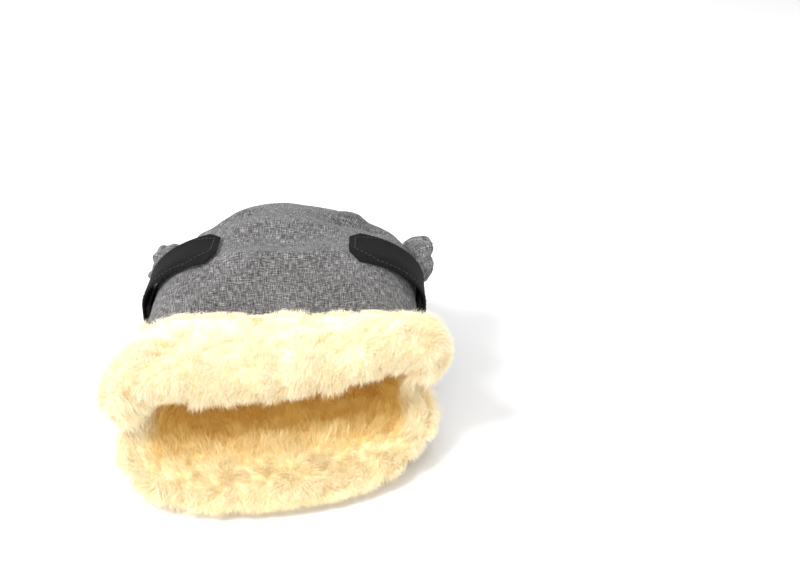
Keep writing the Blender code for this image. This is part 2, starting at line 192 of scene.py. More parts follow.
VALLEY, RIDGE, HUMP, SHOULDER = -0.0050, 0.0014, 0.0085, -0.0075
DART, DART_PINCH, DART_PUFF = -0.0030, -0.0060, 0.0030
LIP_SAG, LIP_ENDS, RIGHT_RISE, CROWN_LEAN = -0.0075, 0.0050, 0.0110, 0.060


def darts(x, y):
    """On each side a pinched seam, deepest at its inner end, with the cloth puffed up behind it."""
    total = np.zeros_like(x)
    for side, size in ((-1, 0.7), (1, 1.0)):
        run = np.clip((side * x - 0.034) / 0.046, 0.0, 1.0)
        dart_y = 0.064 + 0.012 * run
        total += size * DART * bump(y - dart_y, 0.0035) * ease((side * x - 0.026) / 0.012)
        total += size * DART_PINCH * bump(side * x - 0.030, 0.011) * bump(y - 0.062, 0.009)
        total += size * DART_PUFF * bump(y - dart_y - 0.011, 0.007) * bump(side * x - 0.056, 0.026)
    return total


def slump(points):
    """How the cloth settles: a valley behind the strap line, a hump in the crown, pinched darts, and a lip
    that sags in its middle and rides up at its right end. The crown leans to the right."""
    x, y, z = points[..., 0], points[..., 1], points[..., 2]
    top = ease((z - 0.066) / 0.035)
    valley = VALLEY * bump(y - 0.018, 0.015) * bump(x + 0.002, 0.032)
    ridge = RIDGE * bump(y + 0.004, 0.012) * bump(x - 0.010, 0.060)
    hump = HUMP * bump(y - 0.068, 0.034) * bump(x + 0.012, 0.040)
    shoulders = SHOULDER * ease((y - 0.028) / 0.034) * bump(np.abs(x + 0.004) - 0.062, 0.022)
    front = mouth_share(y)
    sag = LIP_SAG * front * bump(x, 0.062)
    ends = LIP_ENDS * front * ease((np.abs(x) - 0.070) / 0.040)
    rise = RIGHT_RISE * front * ease((x - 0.010) / 0.100)
    moved = points.copy()
    moved[..., 0] += CROWN_LEAN * np.maximum(0.0, y - 0.040) * top
    moved[..., 2] += top * (valley + ridge + hump + shoulders + darts(x, y)) + sag + ends + rise
    return moved


def upper_point(s, y, depth):
    """The front panel: s runs -1 to 1 across, y along."""
    x, z = upper_section(np.abs(s), y, depth)
    return slump(stack(np.sign(s) * x, y, z))


def crown_y(turn, depth):
    return CROWN_START + (CROWN_LENGTH - depth) * np.sin(turn)


def seam_height(turn):
    return mix(TIP_HEIGHT, SEAM_HEIGHT, np.cos(turn))


def crown_point(s, turn, depth, upper):
    """The closed crown: the section at its start shrinks by the cosine of the turn, towards the tip."""
    section = upper_section if upper else trough_section
    x, z = section(np.abs(s), np.full_like(turn, CROWN_START), depth)
    scale = np.cos(turn)
    rise = (z - SEAM_HEIGHT) * scale
    full = DOME_HEIGHT - SEAM_HEIGHT if upper else BACK_CORNER_HEIGHT - SEAM_HEIGHT
    share = np.maximum(0.0, 1 - rise / full)
    slot = ear_slot_half(crown_y(turn, 0.0)) * share * (1 if upper else -1)
    points = stack(np.sign(s) * x * scale, crown_y(turn, depth), seam_height(turn) + rise + slot)
    return slump(points) if upper else points


def hem_y(across):
    reach = TONGUE_SHOULDER - HEM_FRONT
    return TONGUE_SHOULDER - reach * np.sqrt(np.maximum(0.0, 1 - np.abs(across) ** 2.6))


def lower_point(s, y, depth):
    """The back panel: a trough that opens out into a nearly flat tongue."""
    a = np.abs(s)
    deep_x, deep_z = trough_section(a, y, depth)
    flatness = ease((DEEP_END - y) / (DEEP_END - TONGUE_FLAT))
    x = mix(deep_x, TONGUE_HALF_WIDTH * a, flatness)
    z = mix(deep_z, depth + TONGUE_CURL * a**4, flatness)
    return stack(np.sign(s) * x, y, z)


CROWN_SHARE = 0.42


def front_sheet(s, v, depth):
    """Front panel and crown in one run: v is 0 at the fold, 1 at the crown's tip."""
    y = mix(FOLD, CROWN_START - 1e-6, np.clip(v / (1 - CROWN_SHARE), 0, 1))
    turn = QUARTER * np.clip((v - 1 + CROWN_SHARE) / CROWN_SHARE, 0, 1)
    in_crown = (v > 1 - CROWN_SHARE)[..., None]
    return np.where(in_crown, crown_point(s, turn, depth, True), upper_point(s, y, depth))


def back_sheet(s, v, depth, reach=0.0):
    """Back panel and tongue in one run: v is 0 at the crown's tip, 1 at the hem."""
    turn = QUARTER * (1 - np.clip(v / CROWN_SHARE, 0, 1))
    along = np.clip((v - CROWN_SHARE) / (1 - CROWN_SHARE), 0, 1)
    y = mix(CROWN_START - 1e-6, hem_y(np.clip(s, -1, 1)) - reach, along)
    in_crown = (v < CROWN_SHARE)[..., None]
    return np.where(in_crown, crown_point(s, turn, depth, False), lower_point(s, y, depth))


CUFF_ARC_SHARE = 0.52


def cuff_sheet(s, v, depth):
    """The turned-out cuff: v runs under the lip, round the fold and back over the panel; depth counts
    outwards from the cuff's fabric."""
    radius = CUFF_LIFT / 2 + depth
    turn = math.pi * (1 - np.clip(v / CUFF_ARC_SHARE, 0, 1))
    along = np.clip((v - CUFF_ARC_SHARE) / (1 - CUFF_ARC_SHARE), 0, 1)
    level = np.where(v <= CUFF_ARC_SHARE, -CUFF_LIFT / 2 - radius * np.cos(turn), -CUFF_LIFT / 2 - radius)
    y = FOLD + CUFF_LENGTH * along
    x, z = upper_section(np.abs(s), y, level)
    y_out = y - np.where(v <= CUFF_ARC_SHARE, radius * np.sin(turn), 0.0)
    return slump(stack(np.sign(s) * x, y_out, z))


print("master surfaces ready: front, back and cuff")

# %% [markdown]
# ## From arrays to meshes
# A mesh is a list of corners and a list of faces. Both are made as arrays and handed over in one call, which
# is fast enough for a hundred thousand locks of wool. A layer is two grids joined round their rims.


# %% Mesh helpers
ASKEW = 0.16


def askew(points):
    """The mouth lies a little askew: from the straps forward, y shifts by a share of x."""
    x, y = points[:, 0], points[:, 1]
    shift = ASKEW * x * mouth_share(y)
    return points + np.stack([np.zeros_like(x), shift, np.zeros_like(x)], axis=1)


def add_mesh(name, points, face_sets, uv=None, values=None, lie=True):
    """A mesh object from an array of points and arrays of faces with three or four corners."""
    points = askew(points) if lie else points
    mesh = bpy.data.meshes.new(name)
    mesh.vertices.add(len(points))
    mesh.vertices.foreach_set("co", np.asarray(points, np.float32).ravel())
    corners = np.concatenate([faces.ravel() for faces in face_sets]).astype(np.int32)
    sizes = np.concatenate([np.full(len(faces), faces.shape[1]) for faces in face_sets])
    mesh.loops.add(len(corners))
    mesh.loops.foreach_set("vertex_index", corners)
    mesh.polygons.add(len(sizes))
    mesh.polygons.foreach_set("loop_start", np.concatenate([[0], np.cumsum(sizes)[:-1]]).astype(np.int32))
    mesh.update(calc_edges=True)
    if uv is not None:
        layer = mesh.uv_layers.new(name="UVMap")
        layer.data.foreach_set("uv", np.asarray(uv, np.float32)[corners].ravel())
    for key, numbers in (values or {}).items():
        attribute = mesh.attributes.new(key, "FLOAT", "POINT")
        attribute.data.foreach_set("value", np.asarray(numbers, np.float32).ravel())
    mesh.validate()
    mesh.shade_smooth()
    made = bpy.data.objects.new(name, mesh)
    bpy.context.scene.collection.objects.link(made)
    return made


def grid_faces(rows, columns, start=0, flip=False):
    """The faces of a grid whose corners are numbered row by row."""
    r, c = np.meshgrid(np.arange(rows - 1), np.arange(columns - 1), indexing="ij")
    first = (start + r * columns + c).ravel()
    faces = np.stack([first, first + 1, first + columns + 1, first + columns], axis=1)
    return faces[:, ::-1] if flip else faces


def rim_faces(rows, columns, step):
    """A band of faces round the rim, between one grid and the next one."""
    top = np.arange(columns)
    right = np.arange(1, rows) * columns + columns - 1
    bottom = (rows - 1) * columns + np.arange(columns - 2, -1, -1)
    left = np.arange(rows - 2, 0, -1) * columns
    ring = np.concatenate([top, right, bottom, left])
    following = np.roll(ring, -1)
    return np.stack([ring, ring + step, following + step, following], axis=1)


def outward(obj):
    """Merges doubled points at the poles, then turns every face outwards."""
    bm = bmesh.new()
    bm.from_mesh(obj.data)
    bmesh.ops.remove_doubles(bm, verts=bm.verts, dist=2e-6)
    bmesh.ops.recalc_face_normals(bm, faces=bm.faces)
    bm.to_mesh(obj.data)
    bm.free()
    return obj


def layer(name, outer, inner, uv=None, values=None, sharp=55):
    """A closed layer from two grids of points with the same rows and columns."""
    rows, columns = outer.shape[:2]
    count = rows * columns
    points = np.concatenate([outer.reshape(-1, 3), inner.reshape(-1, 3)])
    front, rear = grid_faces(rows, columns), grid_faces(rows, columns, count, True)
    faces = [front, rear, rim_faces(rows, columns, count)]
    if uv is not None:
        uv = np.concatenate([uv.reshape(-1, 2)] * 2)
    made = outward(add_mesh(name, points, faces, uv, values))
    made.data.set_sharp_from_angle(angle=math.radians(sharp))
    return made


def sweep(name, path, radius, sides=8):
    """A tube of a given radius carried along a path, with closed ends."""
    path = np.asarray(path, float)
    tangent = np.gradient(path, axis=0)
    tangent /= np.linalg.norm(tangent, axis=1, keepdims=True)
    first = np.cross(tangent, np.array([0.0, 0.0, 1.0]))
    first = unit(first)
    second = np.cross(first, tangent)
    angle = np.linspace(0, 2 * math.pi, sides, endpoint=False)
    ring = np.cos(angle)[None, :, None] * first[:, None] + np.sin(angle)[None, :, None] * second[:, None]
    points = path[:, None] + ring * radius
    closed = np.concatenate([points, points[:, :1]], axis=1)
    ends = [np.broadcast_to(path[i], (1, sides + 1, 3)) for i in (0, -1)]
    whole = np.concatenate([ends[0], closed, ends[1]], axis=0)
    return outward(add_mesh(name, whole.reshape(-1, 3), [grid_faces(*whole.shape[:2])]))


EDGE_CROWD = 1.25


def across_grid(rows, columns, low=-1.0, high=1.0):
    """Places across and along a panel; columns crowd towards the edges, where it turns most."""
    u = np.linspace(-1, 1, columns)
    s = np.sign(u) * (1 - (1 - np.abs(u)) ** EDGE_CROWD)
    s = np.broadcast_to(mix(low, high, (s + 1) / 2), (rows, columns))
    v = np.broadcast_to(np.linspace(0, 1, rows)[:, None], (rows, columns))
    return s.copy(), v.copy()


def cloth_uv(points):
    """Thread places in metres: arc length across each row from its middle, and along the middle column."""
    step = np.linalg.norm(np.diff(points, axis=1), axis=2)
    across = np.concatenate([np.zeros((len(points), 1)), np.cumsum(step, axis=1)], axis=1)
    middle = points.shape[1] // 2
    across -= across[:, middle : middle + 1]
    rise = np.linalg.norm(np.diff(points[:, middle], axis=0), axis=1)
    along = np.concatenate([[0.0], np.cumsum(rise)])
    return np.stack([across, np.broadcast_to(along[:, None], across.shape)], axis=-1)


def dress(obj, material, body, replaces=()):
    """Gives a finished piece its material, its body and the CAD nodes that it stands for."""
    obj.data.materials.clear()
    obj.data.materials.append(material)
    if isinstance(body, str):
        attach(obj, body)
    if replaces:
        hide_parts(*replaces)
    return obj


print("mesh helpers ready")

# %% [markdown]
# ## Finishes
# Each finish is a node material. What several of them share, such as threads or fine fluff, is a node group
# that puts out a tone and a height; the shader itself stays in the material.


# %% Node helpers
class Nodes:
    """Short names for adding and linking nodes."""

    def __init__(self, tree):
        self.tree = tree

    def add(self, kind, inputs=None, **settings):
        node = self.tree.nodes.new(kind)
        for key, value in settings.items():
            setattr(node, key, value)
        for key, value in (inputs or {}).items():
            self.set(node.inputs[key], value)
        return node

    def set(self, socket, value):
        if isinstance(value, bpy.types.NodeSocket):
            self.tree.links.new(value, socket)
        elif isinstance(value, tuple) and len(value) == 3 and socket.type == "RGBA":
            socket.default_value = (*value, 1.0)
        else:
            socket.default_value = value

    def math(self, operation, a, b=0.0, c=0.0):
        return self.add("ShaderNodeMath", {0: a, 1: b, 2: c}, operation=operation).outputs[0]

    def noise(self, vector, scale, detail=2.0, roughness=0.5):
        wanted = {"Vector": vector, "Scale": scale, "Detail": detail, "Roughness": roughness}
        return self.add("ShaderNodeTexNoise", wanted).outputs["Fac"]

    def mapped(self, vector, scale, move=(0.0, 0.0, 0.0)):
        return self.add("ShaderNodeMapping", {"Vector": vector, "Scale": scale, "Location": move}).outputs[0]

    def ramp(self, value, stops):
        node = self.add("ShaderNodeValToRGB", {"Fac": value})
        while len(node.color_ramp.elements) < len(stops):
            node.color_ramp.elements.new(0.5)
        for element, (place, colour) in zip(node.color_ramp.elements, stops):
            element.position = place
            element.color = (*colour, 1.0)
        return node.outputs["Color"]

    def mix(self, factor, a, b):
        node = self.add("ShaderNodeMix", data_type="RGBA")
        for index, value in ((0, factor), (6, a), (7, b)):
            self.set(node.inputs[index], value)
        return node.outputs[2]


def new_group(name, inputs, outputs):
    """A shader node group with named inputs and outputs."""
    group = bpy.data.node_groups.new(name, "ShaderNodeTree")
    for label, kind, default in inputs:
        socket = group.interface.new_socket(label, in_out="INPUT", socket_type=kind)
        if default is not None:
            socket.default_value = default
    for label in outputs:
        group.interface.new_socket(label, in_out="OUTPUT", socket_type="NodeSocketFloat")
    n = Nodes(group)
    return group, n, n.add("NodeGroupInput"), n.add("NodeGroupOutput")


def new_material(name, roughness, sheen=0.0, sheen_roughness=0.5, specular=0.3):
    made = bpy.data.materials.new(name)
    made.use_nodes = True
    n = Nodes(made.node_tree)
    shader = made.node_tree.nodes["Principled BSDF"]
    shader.inputs["Roughness"].default_value = roughness
    shader.inputs["Sheen Weight"].default_value = sheen
    shader.inputs["Sheen Roughness"].default_value = sheen_roughness
    shader.inputs["Specular IOR Level"].default_value = specular
    return made, n, shader


def bumped(n, shader, height, distance, strength=1.0):
    node = n.add("ShaderNodeBump", {"Strength": strength, "Distance": distance, "Height": height})
    n.set(shader.inputs["Normal"], node.outputs[0])


# %% [markdown]
# ### Woven threads
# A plain weave is two sets of threads that pass over and under each other like a draughtboard. In mottled
# grey cloth each thread changes tone every few millimetres, so a noise is stretched along the thread: one
# for each direction, and the board picks which one shows.


# %% The weave group
def weave_group():
    group, n, given, result = new_group(
        "woven_threads",
        [
            ("Vector", "NodeSocketVector", None),
            ("Pitch", "NodeSocketFloat", 0.0007),
            ("Slub", "NodeSocketFloat", 9.0),
        ],
        ("Tone", "Height"),
    )
    parts = n.add("ShaderNodeSeparateXYZ", {0: given.outputs["Vector"]})
    u = n.math("DIVIDE", parts.outputs[0], given.outputs["Pitch"])
    v = n.math("DIVIDE", parts.outputs[1], given.outputs["Pitch"])
    long_u = n.math("DIVIDE", u, given.outputs["Slub"])
    long_v = n.math("DIVIDE", v, given.outputs["Slub"])
    warp = n.add("ShaderNodeCombineXYZ", {0: u, 1: long_v, 2: 3.0}).outputs[0]
    weft = n.add("ShaderNodeCombineXYZ", {0: long_u, 1: v, 2: 11.0}).outputs[0]
    wave_u = n.math("SINE", n.math("MULTIPLY", u, math.pi))
    wave_v = n.math("SINE", n.math("MULTIPLY", v, math.pi))
    over = n.math("GREATER_THAN", n.math("MULTIPLY", wave_u, wave_v), 0.0)
    tone = n.mix(over, n.noise(weft, 1.0, 1.0), n.noise(warp, 1.0, 1.0))
    n.set(result.inputs["Tone"], tone)
    round_u, round_v = n.math("ABSOLUTE", wave_u), n.math("ABSOLUTE", wave_v)
    n.set(result.inputs["Height"], n.mix(over, round_v, round_u))
    return group


def fluff_group():
    group, n, given, result = new_group(
        "fine_fluff",
        [("Vector", "NodeSocketVector", None), ("Size", "NodeSocketFloat", 0.001)],
        ("Tone", "Height"),
    )
    scale = n.math("DIVIDE", 1.0, given.outputs["Size"])
    n.set(result.inputs["Tone"], n.noise(given.outputs["Vector"], scale, 4.0, 0.65))
    n.set(result.inputs["Height"], n.noise(given.outputs["Vector"], n.math("MULTIPLY", scale, 2.3), 3.0, 0.6))
    return group


WEAVE, FLUFF = weave_group(), fluff_group()
print("shared effects:", WEAVE.name, FLUFF.name)


# %% The finishes of cloth, hide, webbing, tape, elastic and thread
def use(n, group, vector, **values):
    node = n.add("ShaderNodeGroup", node_tree=group)
    n.set(node.inputs["Vector"], vector)
    for key, value in values.items():
        node.inputs[key].default_value = value
    return node.outputs


def melange_fabric():
    made, n, shader = new_material("mottled_grey_cloth", 0.92, sheen=0.12, specular=0.15)
    uv = n.add("ShaderNodeUVMap", uv_map="UVMap").outputs[0]
    threads = use(n, WEAVE, uv, Pitch=0.00062, Slub=7.0)
    stretched = n.noise(n.mapped(uv, (210.0, 1700.0, 1.0)), 1.0, 2.0)
    upright = n.noise(n.mapped(uv, (1600.0, 190.0, 1.0), (4.0, 9.0, 2.0)), 1.0, 2.0)
    clouds = n.noise(uv, 28.0, 3.0)
    tone = n.math("MULTIPLY_ADD", stretched, 0.42, n.math("MULTIPLY", upright, 0.42))
    tone = n.math("MULTIPLY_ADD", threads["Tone"], 0.60, tone)
    tone = n.math("MULTIPLY_ADD", clouds, 0.10, tone)
    colour = n.ramp(
        n.math("SUBTRACT", tone, 0.27),
        [
            (0.30, (0.026, 0.026, 0.028)),
            (0.45, (0.088, 0.087, 0.091)),
            (0.55, (0.190, 0.188, 0.193)),
            (0.70, (0.480, 0.472, 0.475)),
        ],
    )
    n.set(shader.inputs["Base Color"], colour)
    bumped(n, shader, n.math("MULTIPLY_ADD", tone, 0.5, threads["Height"]), 0.00035, 0.6)
    return made


def own_surface(n):
    return n.add("ShaderNodeTexCoord").outputs["Object"]


def fluffy(name, low, high, roughness, size, distance=0.0004):
    """A felted finish: a fine fluff group from a low tone to a high one, and its bump."""
    made, n, shader = new_material(name, roughness, sheen=0.2, specular=0.2)
    fluff = use(n, FLUFF, own_surface(n), Size=size)
    n.set(shader.inputs["Base Color"], n.ramp(fluff["Tone"], [(0.35, low), (0.65, high)]))
    bumped(n, shader, fluff["Height"], distance)
    return made


def webbing():
    made, n, shader = new_material("black_webbing", 0.75, sheen=0.0, specular=0.10)
    uv = n.add("ShaderNodeUVMap", uv_map="UVMap").outputs[0]
    threads = use(n, WEAVE, uv, Pitch=0.0009, Slub=4.0)
    cloud = n.noise(uv, 60.0, 3.0)
    tone = n.math("MULTIPLY_ADD", cloud, 0.4, n.math("MULTIPLY", threads["Tone"], 0.6))
    blacks = n.ramp(tone, [(0.3, (0.0035, 0.0035, 0.004)), (0.7, (0.014, 0.014, 0.015))])
    n.set(shader.inputs["Base Color"], blacks)
    bumped(n, shader, threads["Height"], 0.0003, 0.7)
    return made


def red_patch():
    made, n, shader = new_material("red_woven_patch", 0.55, sheen=0.1)
    uv = n.add("ShaderNodeUVMap", uv_map="UVMap").outputs[0]
    threads = use(n, WEAVE, uv, Pitch=0.0005, Slub=3.0)
    reds = n.ramp(threads["Tone"], [(0.3, (0.30, 0.004, 0.006)), (0.7, (0.46, 0.012, 0.014))])
    n.set(shader.inputs["Base Color"], reds)
    bumped(n, shader, threads["Height"], 0.0002, 0.6)
    return made


CLOTH = melange_fabric()
SUEDE = fluffy("tanned_suede", (0.50, 0.36, 0.19), (0.70, 0.54, 0.32), 0.85, 0.0014)
WEBBING = webbing()
TAPE = fluffy("black_fastener_tape", (0.004, 0.004, 0.004), (0.030, 0.030, 0.030), 0.8, 0.0006, 0.0006)
RUBBER_BAND = fluffy("grey_elastic_band", (0.05, 0.05, 0.05), (0.14, 0.14, 0.14), 0.7, 0.0010)
DARK_THREAD = fluffy("black_sewing_thread", (0.008, 0.008, 0.008), (0.035, 0.035, 0.035), 0.6, 0.0008)
PATCH = red_patch()
print("finishes:", len(bpy.data.materials))


# %% [markdown]
# ### Wool
# A lamb's wool is deep gold at the root and cream at the tip. Each lock carries its place from root to tip
# and a number of its own, so one material can shade every lock a little differently.


# %% The wool finishes
def wool_material(name, hair):
    """Gold at the root, cream at the tip, and a painted shade of deeper gold inside the pocket. A faint warm
    glow is painted light that stands for the light that real hairs pass on to each other. Underfur has a
    fluffy bump too."""
    made, n, shader = new_material(name, 0.9, sheen=0.25, sheen_roughness=0.5, specular=0.05)
    shader.inputs["Sheen Tint"].default_value = (1.0, 0.96, 0.88, 1.0)
    along = n.add("ShaderNodeAttribute", attribute_name="along").outputs["Fac"]
    lock = n.add("ShaderNodeAttribute", attribute_name="lock").outputs["Fac"]
    # Painted shade: 'inside' tells how deep in the pocket's shade a point lies.
    depth = n.add("ShaderNodeAttribute", attribute_name="inside").outputs["Fac"]
    shade = n.math("MULTIPLY_ADD", lock, 0.24, n.math("MULTIPLY", along, 0.76))
    tips = n.ramp(
        shade,
        [
            (0.05, (0.800, 0.520, 0.170)),
            (0.30, (0.920, 0.730, 0.390)),
            (0.56, (0.960, 0.840, 0.560)),
            (0.88, (0.985, 0.925, 0.760)),
        ],
    )
    # The painted shade: a deeper gold for wool deep in the pocket.
    painted_shade_gold = n.ramp(
        shade,
        [
            (0.10, (0.740, 0.360, 0.030)),
            (0.55, (0.880, 0.610, 0.130)),
            (0.95, (0.930, 0.750, 0.290)),
        ],
    )
    n.set(shader.inputs["Base Color"], n.mix(depth, tips, painted_shade_gold))
    # Painted glow: a faint warm emission, more amber where the painted shade is deep.
    shader.inputs["Emission Strength"].default_value = 0.06
    n.set(shader.inputs["Emission Color"], n.mix(depth, (1.0, 0.78, 0.42), (1.0, 0.56, 0.12)))
    if not hair:
        fluff = use(n, FLUFF, own_surface(n), Size=0.0012)
        bumped(n, shader, fluff["Height"], 0.0006, 0.5)
    return made


WOOL_BASE = wool_material("wool_underfur", False)
WOOL_LOCKS = wool_material("wool_locks", True)
print("wool finishes ready")

# %% [markdown]
# ## The fabric
# On a real muff the outer cloth is cut in two panels and sewn round the crown. Here each panel is one grid
# on its master surface. Small wrinkles are pushed out along the normals: a sum of long soft waves, plus
# drag lines that run from where the tabs pull.


# %% Wrinkles
def soft_waves(x, y, waves, seed, low, high):
    """A sum of sine waves in random directions, with lengths between low and high."""
    rng = np.random.default_rng(seed)
    total = np.zeros_like(x)
    for _ in range(waves):
        angle = rng.uniform(0, math.pi)
        k = 2 * math.pi / rng.uniform(low, high)
        total += np.sin(k * (x * math.cos(angle) + y * math.sin(angle)) + rng.uniform(0, 2 * math.pi))
    return total / math.sqrt(waves)


def fold_line(x, y, start, end, width, height, curl=0.0):
    """A long fold: a bell across the line from start to end, fading at both ends."""
    ax, ay = start
    dx, dy = end[0] - ax, end[1] - ay
    length = math.hypot(dx, dy)
    along = ((x - ax) * dx + (y - ay) * dy) / length**2
    off = ((x - ax) * dy - (y - ay) * dx) / length - curl * np.sin(np.clip(along, 0, 1) * math.pi)
    fade = ease(along / 0.25) * ease((1 - along) / 0.25)
    return height * bump(off, width) * fade


FOLDS = (
    ((-0.054, -0.004), (0.054, -0.002), 0.0052, 0.0046, 0.006),
    ((-0.046, 0.032), (0.046, 0.036), 0.0070, 0.0028, -0.005),
    ((0.004, 0.058), (0.060, 0.088), 0.0050, 0.0036, 0.005),
    ((-0.070, 0.040), (-0.020, 0.076), 0.0050, 0.0026, -0.004),
    ((0.018, -0.012), (0.080, -0.046), 0.0042, 0.0024, -0.003),
    ((-0.020, -0.014), (-0.082, -0.048), 0.0042, 0.0022, 0.003),
    ((0.020, 0.030), (0.078, 0.060), 0.0050, 0.0018, 0.004),
    ((-0.018, 0.034), (-0.074, 0.058), 0.0050, 0.0014, -0.004),
    ((0.010, -0.020), (0.040, -0.060), 0.0060, 0.0009, 0.002),
    ((-0.014, -0.016), (-0.050, -0.058), 0.0060, 0.0008, -0.002),
    ((-0.010, 0.120), (0.050, 0.095), 0.0050, 0.0014, 0.004),
    ((-0.060, 0.100), (0.000, 0.108), 0.0050, 0.0012, -0.003),
)


def wrinkle(points):
    x, y = points[..., 0], points[..., 1]
    push = 0.00075 * soft_waves(x, y, 9, 4, 0.030, 0.080)
    push += 0.00018 * soft_waves(x, y, 9, 5, 0.010, 0.022)
    for start, end, width, height, curl in FOLDS:
        push += fold_line(x, y, start, end, width, height, curl)
    return push


# %% The two fabric panels
DEEPEST = -0.0004


def fabric_panel(name, sheet, rows, columns, wrinkled):
    """Outer face with wrinkles and a turned edge, inner face one fabric's thickness below."""
    s, v = across_grid(rows, columns)
    outer = sheet(s, v, np.zeros_like(s))
    inner = sheet(s, v, np.full_like(s, FABRIC))
    uv = cloth_uv(outer)
    direction = unit(outer - inner)
    edge = ease((1 - np.abs(s)) / 0.05)
    if wrinkled:
        push = np.maximum(wrinkle(outer) * edge, DEEPEST)
    else:
        waves = 0.0003 * soft_waves(outer[..., 0], outer[..., 1], 9, 8, 0.02, 0.06)
        push = np.maximum(waves, DEEPEST) * edge * (outer[..., 2] > 0.002)
    return layer(name, outer + direction * push[..., None], inner, uv)


front_cloth = fabric_panel("fabric_front_and_crown", front_sheet, 150, 140, True)
dress(front_cloth, CLOTH, None, ("front_shell_panel", "crown_shell"))
back_cloth = fabric_panel("fabric_back_and_tongue", back_sheet, 130, 120, False)
dress(back_cloth, CLOTH, "back", ("back_shell_panel",))
print("fabric panels:", len(front_cloth.data.polygons), len(back_cloth.data.polygons), "faces")


# %% The cuff's fabric, and the hides behind each panel
def plain_layer(name, sheet, rows, columns, top, bottom, woven=False):
    s, v = across_grid(rows, columns)
    outer = sheet(s, v, np.full_like(s, top))
    return layer(name, outer, sheet(s, v, np.full_like(s, bottom)), cloth_uv(outer) if woven else None)


cuff_cloth = plain_layer("fabric_cuff", cuff_sheet, 30, 90, FABRIC, 0.0, woven=True)
dress(cuff_cloth, CLOTH, "cuff", ("cuff_shell",))
cuff_hide = plain_layer("hide_cuff", cuff_sheet, 30, 90, HIDE_END, HIDE_TOP)
dress(cuff_hide, SUEDE, "cuff", ("cuff_lambskin_hide",))
front_hide = plain_layer("hide_front_and_crown", front_sheet, 100, 90, HIDE_TOP, HIDE_END)
dress(front_hide, SUEDE, None, ("front_lambskin_hide", "crown_lambskin_hide"))
back_hide = plain_layer("hide_back", back_sheet, 90, 90, HIDE_TOP, HIDE_END)
dress(back_hide, SUEDE, "back", ("back_lambskin_hide",))
print("cuff fabric and three hides")

# %% [markdown]
# ## Wool
# Real wool is thousands of fine hairs that stick together in locks. Hair particles would not survive as
# geometry, so each hair is a thin ribbon with a pointed tip. Hairs choose the nearest lock on a jittered
# board, lean with it and draw together at its tip. Under them lies a rounded body of underfur, so that no
# hide shows through.


# %% Places, locks and hairs on a sheet
HAIRS_A_PIECE, HAIR_CURL = 39000, 0.0018


